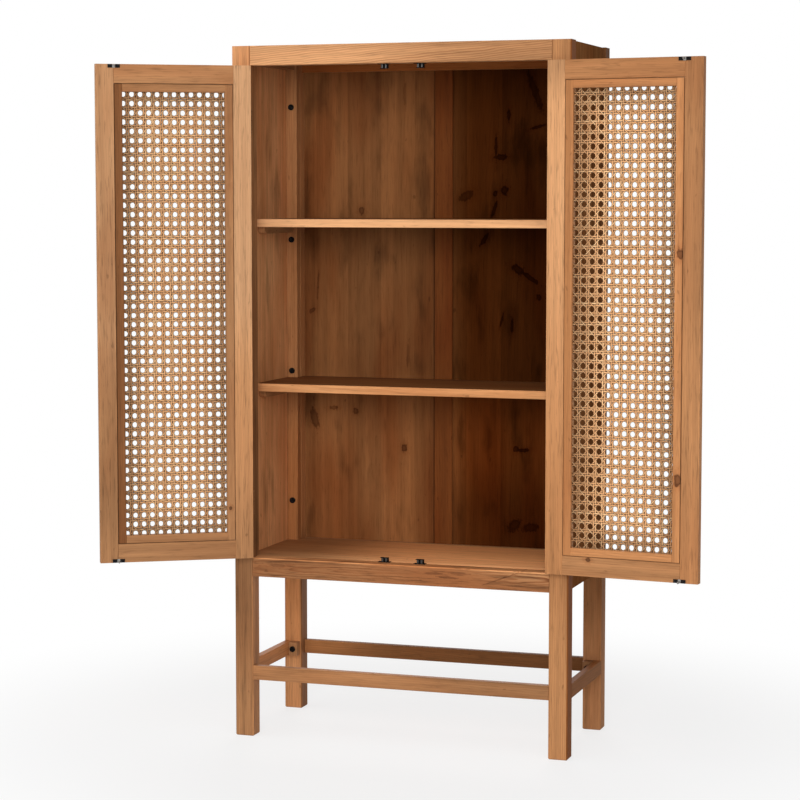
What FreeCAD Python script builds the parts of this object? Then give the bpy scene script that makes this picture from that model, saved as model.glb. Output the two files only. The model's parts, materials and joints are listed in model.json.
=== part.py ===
import FreeCAD, Part
import Sketcher

import math
import os
import re

# Storage cabinet on a four-post frame, with three compartments behind two inset doors of woven cane.
# +X is to the right of someone facing the doors, +Y to the rear, +Z up.
# The origin is on the floor, under the middle of the case. The doors stand open, as left_open_angle
# and right_open_angle say.

# Driving sizes in millimetres and degrees
SIZES = {
    # Case
    "case_width": 900,
    "case_depth": 400,
    "case_height": 1800,
    "case_underside": 425,
    "post_width": 50,
    "post_depth": 45,
    "post_ease": 2,
    "foot_ease": 2.5,
    "board_ease": 1.2,
    "rail_height": 50,
    "front_rail_depth": 45,
    "rear_rail_depth": 25,
    "top_thickness": 20,
    "floor_thickness": 20,
    "side_panel_thickness": 9,
    "side_panel_setback": 10,
    "back_panel_thickness": 6,
    "back_panel_setback": 5,
    "muntin_width": 50,
    "muntin_thickness": 14,
    "groove_depth": 8,
    "groove_clearance": 0.15,
    "batten_width": 25,
    "batten_height": 25,
    "rear_cleat_depth": 25,
    # Stub tenons of rails and stretchers
    "tenon_length": 12,
    "tenon_thickness": 9,
    "tenon_shoulder": 5,
    "mortise_clearance": 0.15,
    # Leg frame
    "stretcher_underside": 151,
    "stretcher_height": 37,
    "stretcher_thickness": 20,
    "corner_block_width": 25,
    "corner_block_depth": 25,
    # Knock-down bolts
    "bolt_head_diameter": 16,
    "bolt_head_height": 3,
    "bolt_shank_diameter": 6,
    "bolt_grip": 30,
    "bolt_hole_clearance": 0.3,
    "bolt_tip_clearance": 2,
    "bolt_socket_width": 5.8,
    "bolt_socket_depth": 1.8,
    "bolt_lower_margin": 109,
    "bolt_upper_margin": 125,
    "bolts_per_cleat": 4,
    # Shelves
    "lower_compartment_height": 427,
    "middle_compartment_height": 412,
    "shelf_thickness": 21,
    "shelf_setback": 100,
    "shelf_clearance": 2,
    "shelf_cleat_height": 18,
    "shelf_cleat_width": 20,
    "shelf_cleat_setback": 24,
    "shelf_cleat_nose": 14,
    # Doors
    "door_thickness": 22,
    "door_hinge_gap": 2,
    "door_meeting_gap": 3,
    "door_head_gap": 2,
    "door_foot_gap": 3,
    "stile_width": 46,
    "door_rail_width": 48,
    "bead_width": 20.5,
    "bead_thickness": 9.5,
    "bead_clearance": 0.8,
    "bead_ease": 1,
    "cane_thickness": 2.5,
    "cane_pitch_across": 43,
    "cane_pitch_down": 47,
    "cane_gap_width": 32,
    "left_open_angle": 148.5,
    "right_open_angle": 174.1,
    # Butt hinges
    "hinges_per_door": 2,
    "hinge_height": 64,
    "hinge_end_margin": 110,
    "hinge_axis_forward": 4.5,
    "leaf_thickness": 1.2,
    "leaf_reach": 20,
    "knuckle_radius": 4,
    "knuckle_gap": 0.3,
    "hinge_pin_radius": 2,
    "hinge_pin_clearance": 0.05,
    # Roller catches and their strikes
    "catch_offset": 48,
    "catch_setback": 35,
    "catch_base_width": 31,
    "catch_base_front": 7,
    "catch_base_rear": 9,
    "catch_body_width": 20,
    "catch_sheet": 1.2,
    "catch_wall_offset": 6,
    "catch_lip_front": 4.5,
    "roller_spread": 5,
    "roller_radius": 3.3,
    "roller_length": 9,
    "roller_end_gap": 0.3,
    "roller_pin_radius": 1,
    "roller_pin_clearance": 0.05,
    "strike_width": 31,
    "strike_height": 9,
    "strike_margin": 0.5,
    "strike_sheet": 1.2,
    "spear_height": 5,
    "spear_neck_width": 2.4,
    "spear_head_width": 3,
    "spear_reach": 17,
    "spear_point": 2.4,
}

doc = FreeCAD.newDocument("StorageCabinet")
sheet = doc.addObject("Spreadsheet::Sheet", "Sizes")
for row, (alias, size) in enumerate(SIZES.items(), start=1):
    sheet.set(f"A{row}", alias)
    sheet.set(f"B{row}", str(size))
    sheet.setAlias(f"B{row}", alias)
doc.recompute()

# Places that several pieces share, as formulas on the sizes
HALF_WIDTH = "(case_width / 2)"
FRONT = "(-case_depth / 2)"
REAR = "(case_depth / 2)"
POST_INSIDE = "(case_width / 2 - post_width)"
FRONT_POST_REAR = "(post_depth - case_depth / 2)"
REAR_POST_FRONT = "(case_depth / 2 - post_depth)"
PANEL_OUTSIDE = "(case_width / 2 - side_panel_setback)"
PANEL_INSIDE = "(case_width / 2 - side_panel_setback - side_panel_thickness)"
FRONT_RAIL_REAR = "(front_rail_depth - case_depth / 2)"
REAR_RAIL_FRONT = "(case_depth / 2 - rear_rail_depth)"
BACK_PANEL_REAR = "(case_depth / 2 - back_panel_setback)"
BACK_PANEL_FRONT = "(case_depth / 2 - back_panel_setback - back_panel_thickness)"
MUNTIN_FRONT = "(case_depth / 2 - muntin_thickness)"
REAR_CLEAT_FRONT = "(case_depth / 2 - post_depth - rear_cleat_depth)"
OPENING_BOTTOM = "(case_underside + rail_height)"
OPENING_TOP = "(case_height - rail_height)"
TOP_UNDERSIDE = "(case_height - top_thickness)"
FLOOR_UNDERSIDE = "(case_underside + rail_height - floor_thickness)"
LOWER_SHELF = f"({OPENING_BOTTOM} + lower_compartment_height)"
UPPER_SHELF = f"({LOWER_SHELF} + shelf_thickness + middle_compartment_height)"
SHELF_FRONT = "(shelf_setback - case_depth / 2)"
STRETCHER_TOP = "(stretcher_underside + stretcher_height)"
BETWEEN_POSTS = (f"-{POST_INSIDE}", POST_INSIDE)
FRONT_RAIL = (FRONT, FRONT_RAIL_REAR)
REAR_RAIL = (REAR_RAIL_FRONT, REAR)
FRONT_STRETCHER = (FRONT, f"({FRONT} + stretcher_thickness)")
REAR_STRETCHER = (f"({REAR} - stretcher_thickness)", REAR)
TOP_RAIL_HEIGHTS = (OPENING_TOP, "case_height")
BOTTOM_RAIL_HEIGHTS = ("case_underside", OPENING_BOTTOM)
STRETCHER_HEIGHTS = ("stretcher_underside", STRETCHER_TOP)
TOP_TENON = (f"({OPENING_TOP} + groove_depth + tenon_shoulder)", "(case_height - tenon_shoulder)")
BOTTOM_TENON = ("(case_underside + tenon_shoulder)", f"({OPENING_BOTTOM} - groove_depth - tenon_shoulder)")
STRETCHER_TENON = ("(stretcher_underside + tenon_shoulder)", f"({STRETCHER_TOP} - tenon_shoulder)")

# Places on a door, measured from its hinge axis along the closed door, then rearwards
HINGE_X = "(case_width / 2 - post_width - door_hinge_gap / 2)"
HINGE_Y = "(-case_depth / 2 - hinge_axis_forward)"
DOOR_EDGE = "(door_hinge_gap / 2)"
DOOR_WIDTH = "(case_width / 2 - post_width - door_hinge_gap - door_meeting_gap / 2)"
DOOR_FACE = "hinge_axis_forward"
DOOR_BACK = "(hinge_axis_forward + door_thickness)"
DOOR_BOTTOM = f"({OPENING_BOTTOM} + door_foot_gap)"
DOOR_TOP = f"({OPENING_TOP} - door_head_gap)"
FRAME_LEFT = f"({DOOR_EDGE} + stile_width)"
FRAME_RIGHT = f"({DOOR_EDGE} + {DOOR_WIDTH} - stile_width)"
FRAME_BOTTOM = f"({DOOR_BOTTOM} + door_rail_width)"
FRAME_TOP = f"({DOOR_TOP} - door_rail_width)"
CANE_FRONT = f"({DOOR_FACE} + door_thickness / 2 - cane_thickness / 2)"
CANE_BACK = f"({DOOR_FACE} + door_thickness / 2 + cane_thickness / 2)"
FIRST_HINGE = f"({DOOR_BOTTOM} + hinge_end_margin)"
HINGE_TRAVEL = f"({DOOR_TOP} - {DOOR_BOTTOM} - 2 * hinge_end_margin - hinge_height)"
KNUCKLE_LENGTH = "((hinge_height - 2 * knuckle_gap) / 3)"
STRIKE_CENTRE = f"({HINGE_X} - catch_offset)"
CATCH_Y = "(catch_setback - case_depth / 2)"
ROLLER_SPACE = "(roller_length + 2 * roller_end_gap)"
LOWER_ROLLER = f"({OPENING_BOTTOM} + catch_sheet + {ROLLER_SPACE} / 2)"
UPPER_ROLLER = f"({OPENING_TOP} - catch_sheet - {ROLLER_SPACE} / 2)"

TURN_TO_REAR = FreeCAD.Rotation(FreeCAD.Vector(1, 0, 0), -90)
UPSIDE_DOWN = FreeCAD.Rotation(FreeCAD.Vector(0, 1, 0), 180)
UPRIGHT = FreeCAD.Rotation()

# Two places nearer than this are the same
NEAR = 1e-6
# A cut has to take away at least this much, in cubic millimetres
LEAST_CUT = 1e-3
SOCKET_SIDES = 6

nodes = []
cuts = []


def formula(text):
    """The text with each size's name replaced by its cell on the sheet."""
    return re.sub(r"[a-z_]+", lambda word: f"Sizes.{word[0]}" if word[0] in SIZES else word[0], text)


def value(text):
    """The number that a formula on the sizes comes to."""
    return float(sheet.evalExpression(formula(text)))


def bind(item, **formulas):
    """Binds each property of an item to a formula on the sizes."""
    for name, text in formulas.items():
        item.setExpression(name.replace("__", "."), formula(text))


def place(item, x="0", y="0", z="0", turn=UPRIGHT):
    """Puts an item at a formula-bound place, with a fixed turn."""
    item.Placement = FreeCAD.Placement(FreeCAD.Vector(), turn)
    bind(item, Placement__Base__x=x, Placement__Base__y=y, Placement__Base__z=z)


def body(label, is_node=True):
    """An empty solid body, listed as a sub-part of the cabinet unless it belongs to a group."""
    item = doc.addObject("PartDesign::Body", label)
    item.Label = label
    if is_node:
        nodes.append(item)
    return item


def group(label, members):
    """One sub-part made of separate solids."""
    item = doc.addObject("Part::Compound", label)
    item.Label = label
    item.Links = members
    nodes.append(item)
    return item


def origin_part(owner, role):
    """One of a body's own axes or planes."""
    return next(part for part in owner.Origin.OriginFeatures if part.Role == role)


def block(owner, x, y, z, name="Block", cut=False):
    """Adds or cuts a block between two formula-bound corners, given as low and high along each axis."""
    item = owner.newObject("PartDesign::SubtractiveBox" if cut else "PartDesign::AdditiveBox", name)
    bind(
        item,
        Length=f"({x[1]}) - ({x[0]})",
        Width=f"({y[1]}) - ({y[0]})",
        Height=f"({z[1]}) - ({z[0]})",
    )
    place(item, x[0], y[0], z[0])
    if cut:
        cuts.append(item)
    return item


def rod(owner, radius, length, at, turn=UPRIGHT, name="Rod", cut=False):
    """Adds or cuts a round rod that starts at a point and runs up, or the way it is turned."""
    item = owner.newObject("PartDesign::SubtractiveCylinder" if cut else "PartDesign::AdditiveCylinder", name)
    bind(item, Radius=radius, Height=length)
    place(item, *at, turn)
    if cut:
        cuts.append(item)
    return item


def outline(owner, points, role="XY_Plane"):
    """A closed sketch through formula-bound corners on one of the body's own planes."""
    sketch = owner.newObject("Sketcher::SketchObject", "Outline")
    sketch.AttachmentSupport = (origin_part(owner, role), [""])
    sketch.MapMode = "FlatFace"
    corners = [FreeCAD.Vector(value(x), value(y), 0) for x, y in points]
    for start, end in zip(corners, corners[1:] + corners[:1]):
        sketch.addGeometry(Part.LineSegment(start, end))
    for line in range(len(corners)):
        following = (line + 1) % len(corners)
        sketch.addConstraint(Sketcher.Constraint("Coincident", line, 2, following, 1))
    for line, (x, y) in enumerate(points):
        for kind, place_along in (("DistanceX", x), ("DistanceY", y)):
            number = sketch.addConstraint(Sketcher.Constraint(kind, -1, 1, line, 1, value(place_along)))
            sketch.setExpression(f"Constraints[{number}]", formula(place_along))
    return sketch


def pad(owner, sketch, length):
    """Extrudes a sketch along its plane's normal."""
    item = owner.newObject("PartDesign::Pad", "Pad")
    item.Profile = sketch
    bind(item, Length=length)
    return item


def edges_along(feature, axis, test=lambda middle: True):
    """Names of a feature's straight edges along an axis whose middle point passes a test."""
    doc.recompute()
    names = []
    for number, edge in enumerate(feature.Shape.Edges, start=1):
        direction = edge.tangentAt(edge.FirstParameter)
        if abs(getattr(direction, axis)) > 1 - NEAR and test(edge.CenterOfMass):
            names.append(f"Edge{number}")
    return names


def ease(owner, feature, names, size):
    """Takes the sharp arris off the named edges."""
    item = owner.newObject("PartDesign::Chamfer", "Ease")
    item.Base = (feature, names)
    bind(item, Size=size)
    return item


def repeat(owner, originals, role, travel, count):
    """Repeats features along an axis, spread evenly over a travel."""
    item = owner.newObject("PartDesign::LinearPattern", "Row")
    item.Originals = originals
    item.Direction = (origin_part(owner, role), [""])
    bind(item, Length=travel, Occurrences=count)
    owner.Tip = item
    return item


def repeat_whole(owner, role, travel, count):
    """Repeats everything in a body along an axis."""
    doc.recompute()
    item = repeat(owner, [], role, travel, count)
    item.TransformMode = "Whole shape"
    return item


def mirror_whole(owner):
    """Adds the mirror image of everything in a body, on the other side of the cabinet's middle."""
    doc.recompute()
    item = owner.newObject("PartDesign::Mirrored", "OtherSide")
    item.MirrorPlane = (origin_part(owner, "YZ_Plane"), [""])
    item.TransformMode = "Whole shape"
    owner.Tip = item
    return item


def board(label, x, y, z, along, size="board_ease", is_node=True):
    """A planed board whose long edges are eased."""
    item = body(label, is_node)
    blank = block(item, x, y, z)
    ease(item, blank, edges_along(blank, along), size)
    return item


def across(side, near, far):
    """Low and high X of a piece on the left (-1) or right (+1), from its distances to the middle."""
    return (near, far) if side > 0 else (f"-({far})", f"-({near})")


def middle_of(span, width):
    """Low and high of a width in the middle of a span."""
    centre = f"(({span[0]} + {span[1]}) / 2)"
    return (f"({centre} - {width} / 2)", f"({centre} + {width} / 2)")


def tenon(owner, x, y, z):
    """A stub tenon on the end of a board."""
    block(owner, x, y, z, "Tenon")


def end_tenons(owner, y, z):
    """Tenons on both ends of a board between two posts, with the given depths and heights."""
    tenon(owner, (f"-{POST_INSIDE} - tenon_length", f"-{POST_INSIDE}"), y, z)
    tenon(owner, (POST_INSIDE, f"{POST_INSIDE} + tenon_length"), y, z)


def roomy(span):
    """A span with the mortise's clearance at both ends."""
    return (f"{span[0]} - mortise_clearance", f"{span[1]} + mortise_clearance")


def mortise(owner, x, y, z):
    """A recess for a tenon."""
    block(owner, x, y, z, "TenonMortise", cut=True)


def sign_of(side):
    """The sign that a distance from the middle takes on the left (-1) or right (+1)."""
    return "" if side > 0 else "-"


def hang(item, side):
    """Hangs a door's piece on its hinge axis, at the angle that the door stands open."""
    angle = "left_open_angle" if side < 0 else "right_open_angle"
    item.Placement = FreeCAD.Placement(FreeCAD.Vector(), FreeCAD.Rotation(FreeCAD.Vector(0, 0, 1), side))
    bind(
        item,
        Placement__Base__x=f"{sign_of(side)}{HINGE_X}",
        Placement__Base__y=HINGE_Y,
        Placement__Rotation__Angle=f"{sign_of(side)}{angle}",
    )


SIDES = {"left": -1, "right": 1}


# Posts

def hinge_mortises(owner, x, y):
    """Shallow recesses for the hinge leaves, one for each hinge of a door."""
    first = block(owner, x, y, (FIRST_HINGE, f"{FIRST_HINGE} + hinge_height"), "Mortise", cut=True)
    repeat(owner, [first], "Z_Axis", HINGE_TRAVEL, "hinges_per_door")


def post(label, side, y):
    """A full-height corner post with eased edges and a bevelled foot."""
    item = body(label)
    blank = block(item, across(side, POST_INSIDE, HALF_WIDTH), y, ("0", "case_height"))
    long_edges = ease(item, blank, edges_along(blank, "z"), "post_ease")
    doc.recompute()
    foot = [f"Edge{n}" for n, edge in enumerate(long_edges.Shape.Edges, start=1) if edge.BoundBox.ZMax < NEAR]
    ease(item, long_edges, foot, "foot_ease")
    return item


def rail_mortises(owner, side, rail, stretcher):
    """Mortises in a post's inner face for two rails and a stretcher, which lie at the given depths."""
    reach = across(side, POST_INSIDE, f"{POST_INSIDE} + tenon_length + mortise_clearance")
    for depths, heights in ((rail, TOP_TENON), (rail, BOTTOM_TENON), (stretcher, STRETCHER_TENON)):
        mortise(owner, reach, roomy(middle_of(depths, "tenon_thickness")), roomy(heights))


def side_stretcher_span(side):
    """Low and high X of the stretcher on one side."""
    return across(side, f"({HALF_WIDTH} - stretcher_thickness)", HALF_WIDTH)


def front_post(name, side):
    """A front post, grooved behind for the side panel and recessed for the hinge leaves."""
    item = post(f"front_{name}_post", side, (FRONT, FRONT_POST_REAR))
    block(
        item,
        across(side, f"{PANEL_INSIDE} - groove_clearance", f"{PANEL_OUTSIDE} + groove_clearance"),
        (f"{FRONT_POST_REAR} - groove_depth - groove_clearance", FRONT_POST_REAR),
        ("case_underside - groove_clearance", "case_height"),
        "PanelGroove",
        cut=True,
    )
    hinge_mortises(
        item,
        across(side, POST_INSIDE, f"{POST_INSIDE} + leaf_thickness"),
        (FRONT, f"{HINGE_Y} + leaf_reach"),
    )
    rail_mortises(item, side, FRONT_RAIL, FRONT_STRETCHER)
    mortise(
        item,
        roomy(middle_of(side_stretcher_span(side), "tenon_thickness")),
        (f"{FRONT_POST_REAR} - tenon_length - mortise_clearance", FRONT_POST_REAR),
        roomy(STRETCHER_TENON),
    )


BOLT_X = f"(({POST_INSIDE} + {PANEL_INSIDE}) / 2)"
FIRST_BOLT = f"({OPENING_BOTTOM} + bolt_lower_margin)"
BOLT_TRAVEL = f"({TOP_UNDERSIDE} - {OPENING_BOTTOM} - bolt_lower_margin - bolt_upper_margin)"
BLOCK_BOLT_X = "(case_width / 2 - stretcher_thickness - corner_block_width / 2)"
BLOCK_BOLT_Z = "(stretcher_underside + stretcher_height / 2)"
BOLT_HOLE = "bolt_shank_diameter / 2 + bolt_hole_clearance"


def bolt_hole(owner, x, y, z, depth):
    """A clearance hole for a knock-down bolt, running to the rear."""
    return rod(owner, BOLT_HOLE, depth, (x, y, z), TURN_TO_REAR, "BoltHole", cut=True)


def rear_post(name, side):
    """A rear post, grooved for the back panel and drilled for the knock-down bolts."""
    item = post(f"rear_{name}_post", side, (REAR_POST_FRONT, REAR))
    block(
        item,
        across(side, POST_INSIDE, f"{POST_INSIDE} + groove_depth + groove_clearance"),
        (f"{BACK_PANEL_FRONT} - groove_clearance", f"{BACK_PANEL_REAR} + groove_clearance"),
        (
            f"{OPENING_BOTTOM} - groove_depth - groove_clearance",
            f"{OPENING_TOP} + groove_depth + groove_clearance",
        ),
        "BackGroove",
        cut=True,
    )
    depth = "bolt_grip + bolt_tip_clearance"
    bolt_hole(item, f"{sign_of(side)}{BLOCK_BOLT_X}", REAR_POST_FRONT, BLOCK_BOLT_Z, depth)
    first = bolt_hole(item, f"{sign_of(side)}{BOLT_X}", REAR_POST_FRONT, FIRST_BOLT, depth)
    repeat(item, [first], "Z_Axis", BOLT_TRAVEL, "bolts_per_cleat")
    rail_mortises(item, side, REAR_RAIL, REAR_STRETCHER)


for name, side in SIDES.items():
    front_post(name, side)
    rear_post(name, side)


# Case rails, with a groove for the back panels in the two rear ones

def rail(label, depths, heights, tenon_heights):
    """A rail between two posts, with a stub tenon on each end."""
    item = board(label, BETWEEN_POSTS, depths, heights, "x")
    end_tenons(item, middle_of(depths, "tenon_thickness"), tenon_heights)
    return item


rail("front_top_rail", FRONT_RAIL, TOP_RAIL_HEIGHTS, TOP_TENON)
rail("front_bottom_rail", FRONT_RAIL, BOTTOM_RAIL_HEIGHTS, BOTTOM_TENON)
rear_top_rail = rail("rear_top_rail", REAR_RAIL, TOP_RAIL_HEIGHTS, TOP_TENON)
rear_bottom_rail = rail("rear_bottom_rail", REAR_RAIL, BOTTOM_RAIL_HEIGHTS, BOTTOM_TENON)
BACK_GROOVE_DEPTHS = (f"{BACK_PANEL_FRONT} - groove_clearance", f"{BACK_PANEL_REAR} + groove_clearance")
block(
    rear_top_rail,
    BETWEEN_POSTS,
    BACK_GROOVE_DEPTHS,
    (OPENING_TOP, f"{OPENING_TOP} + groove_depth + groove_clearance"),
    "BackGroove",
    cut=True,
)
block(
    rear_bottom_rail,
    BETWEEN_POSTS,
    BACK_GROOVE_DEPTHS,
    (f"{OPENING_BOTTOM} - groove_depth - groove_clearance", OPENING_BOTTOM),
    "BackGroove",
    cut=True,
)


# Back: a middle muntin between the rear rails, and a panel on each side of it

muntin = board(
    "back_muntin",
    ("-muntin_width / 2", "muntin_width / 2"),
    (MUNTIN_FRONT, REAR),
    (OPENING_BOTTOM, OPENING_TOP),
    "z",
)
MUNTIN_WAIST = "(muntin_width / 2 - groove_depth - groove_clearance)"
for heights in (
    (f"{OPENING_BOTTOM} - groove_depth", OPENING_BOTTOM),
    (OPENING_TOP, f"{OPENING_TOP} + groove_depth"),
):
    tenon(muntin, (f"-{MUNTIN_WAIST}", MUNTIN_WAIST), (BACK_PANEL_FRONT, BACK_PANEL_REAR), heights)
for name, side in SIDES.items():
    block(
        muntin,
        across(side, MUNTIN_WAIST, "muntin_width / 2"),
        BACK_GROOVE_DEPTHS,
        (OPENING_BOTTOM, OPENING_TOP),
        "BackGroove",
        cut=True,
    )
    block(
        body(f"{name}_back_panel"),
        across(side, "muntin_width / 2 - groove_depth", f"{POST_INSIDE} + groove_depth"),
        (BACK_PANEL_FRONT, BACK_PANEL_REAR),
        (f"{OPENING_BOTTOM} - groove_depth", f"{OPENING_TOP} + groove_depth"),
    )


# Sides: a thin panel in the front post's groove, and the cleat that the back frame bolts to

def side_panel(name, side):
    """A side panel, from the groove in the front post to the face of the rear post."""
    block(
        body(f"{name}_side_panel"),
        across(side, PANEL_INSIDE, PANEL_OUTSIDE),
        (f"{FRONT_POST_REAR} - groove_depth", REAR_POST_FRONT),
        ("case_underside", "case_height"),
    )


def rear_cleat(name, side):
    """An upright cleat on the side panel, drilled for the bolts into the rear post."""
    item = board(
        f"{name}_rear_cleat",
        across(side, POST_INSIDE, PANEL_INSIDE),
        (REAR_CLEAT_FRONT, REAR_POST_FRONT),
        (OPENING_BOTTOM, TOP_UNDERSIDE),
        "z",
    )
    first = bolt_hole(item, f"{sign_of(side)}{BOLT_X}", REAR_CLEAT_FRONT, FIRST_BOLT, "rear_cleat_depth")
    repeat(item, [first], "Z_Axis", BOLT_TRAVEL, "bolts_per_cleat")


for name, side in SIDES.items():
    side_panel(name, side)
    rear_cleat(name, side)


# Top, floor and shelves: boards notched round the rear posts, on battens along the sides

def notched_board(label, half_width, neck, front, neck_front, rear, underside, thickness):
    """A board that narrows to a neck at its rear corners, to pass between the rear posts."""
    item = body(label)
    points = [
        (f"-{half_width}", front),
        (half_width, front),
        (half_width, neck_front),
        (neck, neck_front),
        (neck, rear),
        (f"-{neck}", rear),
        (f"-{neck}", neck_front),
        (f"-{half_width}", neck_front),
    ]
    blank = pad(item, outline(item, points), thickness)
    front_edges = edges_along(blank, "x", lambda middle: middle.y < value(front) + NEAR)
    ease(item, blank, front_edges, "board_ease")
    place(item, z=underside)


def batten_pair(label, rear, top):
    """A pair of battens along the side panels, from the front posts to a given rear end."""
    item = board(
        label,
        (f"{PANEL_INSIDE} - batten_width", PANEL_INSIDE),
        (FRONT_POST_REAR, rear),
        (f"{top} - batten_height", top),
        "y",
    )
    mirror_whole(item)


def shelf_cleat_pair(label, shelf):
    """A pair of shelf cleats, each with its lower front corner rounded off."""
    item = body(label)
    front = f"({SHELF_FRONT} + shelf_cleat_setback)"
    blank = block(
        item,
        (f"{PANEL_INSIDE} - shelf_cleat_width", PANEL_INSIDE),
        (front, REAR_CLEAT_FRONT),
        (f"{shelf} - shelf_cleat_height", shelf),
    )

    def is_nose(middle):
        return middle.y < value(front) + NEAR and middle.z < value(shelf) - NEAR

    nose = item.newObject("PartDesign::Fillet", "Nose")
    nose.Base = (blank, edges_along(blank, "x", is_nose))
    bind(nose, Radius="shelf_cleat_nose")
    mirror_whole(item)


CASE_BOARD = (PANEL_INSIDE, POST_INSIDE, FRONT_RAIL_REAR, REAR_POST_FRONT, REAR_RAIL_FRONT)
notched_board("top_panel", *CASE_BOARD, TOP_UNDERSIDE, "top_thickness")
notched_board("floor_panel", *CASE_BOARD, FLOOR_UNDERSIDE, "floor_thickness")
batten_pair("top_battens", REAR_CLEAT_FRONT, TOP_UNDERSIDE)
batten_pair("floor_battens", REAR_POST_FRONT, FLOOR_UNDERSIDE)
for label, shelf in (("upper_shelf", UPPER_SHELF), ("lower_shelf", LOWER_SHELF)):
    notched_board(
        label,
        f"({PANEL_INSIDE} - shelf_clearance)",
        f"({POST_INSIDE} - shelf_clearance)",
        SHELF_FRONT,
        f"({REAR_CLEAT_FRONT} - shelf_clearance)",
        f"({MUNTIN_FRONT} - shelf_clearance)",
        shelf,
        "shelf_thickness",
    )
    shelf_cleat_pair(f"{label}_cleats", shelf)


# Leg frame: four stretchers flush with the outside of the posts, and the rear corner blocks

rail("front_stretcher", FRONT_STRETCHER, STRETCHER_HEIGHTS, STRETCHER_TENON)
rail("rear_stretcher", REAR_STRETCHER, STRETCHER_HEIGHTS, STRETCHER_TENON)
for name, side in SIDES.items():
    span = side_stretcher_span(side)
    stretcher = board(f"{name}_stretcher", span, (FRONT_POST_REAR, REAR_POST_FRONT), STRETCHER_HEIGHTS, "y")
    tenon(
        stretcher,
        middle_of(span, "tenon_thickness"),
        (f"{FRONT_POST_REAR} - tenon_length", FRONT_POST_REAR),
        STRETCHER_TENON,
    )
CORNER_BLOCK_FRONT = f"({REAR_POST_FRONT} - corner_block_depth)"
corner_blocks = board(
    "corner_blocks",
    (
        f"{HALF_WIDTH} - stretcher_thickness - corner_block_width",
        f"{HALF_WIDTH} - stretcher_thickness",
    ),
    (CORNER_BLOCK_FRONT, REAR_POST_FRONT),
    STRETCHER_HEIGHTS,
    "z",
)
bolt_hole(corner_blocks, BLOCK_BOLT_X, CORNER_BLOCK_FRONT, BLOCK_BOLT_Z, "corner_block_depth")
mirror_whole(corner_blocks)


# Knock-down bolts with socket heads, from the cleats and blocks into the rear posts

def bolt(label, x, seat, z, through):
    """A bolt whose head seats on a cleat or block and whose shank runs through it into the rear post."""
    item = body(label)
    rod(item, "bolt_shank_diameter / 2", f"{through} + bolt_grip", (x, seat, z), TURN_TO_REAR, "Shank")
    head_front = f"{seat} - bolt_head_height"
    rod(item, "bolt_head_diameter / 2", "bolt_head_height", (x, head_front, z), TURN_TO_REAR, "Head")
    socket = item.newObject("PartDesign::SubtractivePrism", "Socket")
    socket.Polygon = SOCKET_SIDES
    bind(socket, Circumradius=f"bolt_socket_width / 2 / {math.cos(math.pi / SOCKET_SIDES)}", Height="bolt_socket_depth")
    place(socket, x, head_front, z, TURN_TO_REAR)
    cuts.append(socket)
    return item


back_bolts = bolt("back_frame_bolts", BOLT_X, REAR_CLEAT_FRONT, FIRST_BOLT, "rear_cleat_depth")
repeat_whole(back_bolts, "Z_Axis", BOLT_TRAVEL, "bolts_per_cleat")
mirror_whole(back_bolts)
mirror_whole(bolt("stretcher_bolts", BLOCK_BOLT_X, CORNER_BLOCK_FRONT, BLOCK_BOLT_Z, "corner_block_depth"))


# Roller catches: a folded bracket with two riveted pins, and a free roller on each pin

def catch_bracket(label, x, z, turn):
    """A bracket folded from sheet, with a base, a rear wall, a lip and the two roller pins."""
    item = body(label, is_node=False)
    half_body = "catch_body_width / 2"
    wall = ("catch_wall_offset", "catch_wall_offset + catch_sheet")
    height = f"(2 * catch_sheet + {ROLLER_SPACE})"
    block(
        item,
        ("-catch_base_width / 2", "catch_base_width / 2"),
        ("-catch_base_front", "catch_base_rear"),
        ("0", "catch_sheet"),
        "Base",
    )
    body_span = (f"-{half_body}", half_body)
    block(item, body_span, wall, ("0", height), "Wall")
    block(item, body_span, ("-catch_lip_front", wall[1]), (f"{height} - catch_sheet", height), "Lip")
    for pin_x in ("-roller_spread", "roller_spread"):
        rod(item, "roller_pin_radius", height, (pin_x, "0", "0"), name="Pin")
    place(item, x, CATCH_Y, z, turn)
    return item


def roller(label, x, z):
    """A roller that turns on its pin."""
    item = body(label)
    rod(item, "roller_radius", "roller_length", (x, CATCH_Y, z))
    bore = "roller_pin_radius + roller_pin_clearance"
    rod(item, bore, "roller_length", (x, CATCH_Y, z), name="Bore", cut=True)


brackets = []
for name, side in SIDES.items():
    centre = f"{sign_of(side)}catch_offset"
    for level, seat, turn, roller_foot in (
        ("upper", OPENING_TOP, UPSIDE_DOWN, f"{UPPER_ROLLER} - roller_length / 2"),
        ("lower", OPENING_BOTTOM, UPRIGHT, f"{LOWER_ROLLER} - roller_length / 2"),
    ):
        brackets.append(catch_bracket(f"{level}_{name}_bracket", centre, seat, turn))
        roller(f"{level}_{name}_catch_left_roller", f"{centre} - roller_spread", roller_foot)
        roller(f"{level}_{name}_catch_right_roller", f"{centre} + roller_spread", roller_foot)
group("catch_brackets", brackets)


# Butt hinges: a post leaf with the two outer knuckles, a door leaf with the middle one, and a pin

SECOND_KNUCKLE = f"({KNUCKLE_LENGTH} + knuckle_gap)"
THIRD_KNUCKLE = f"(2 * ({KNUCKLE_LENGTH} + knuckle_gap))"
LEAF_ROOT = f"({DOOR_FACE} + knuckle_gap)"


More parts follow.
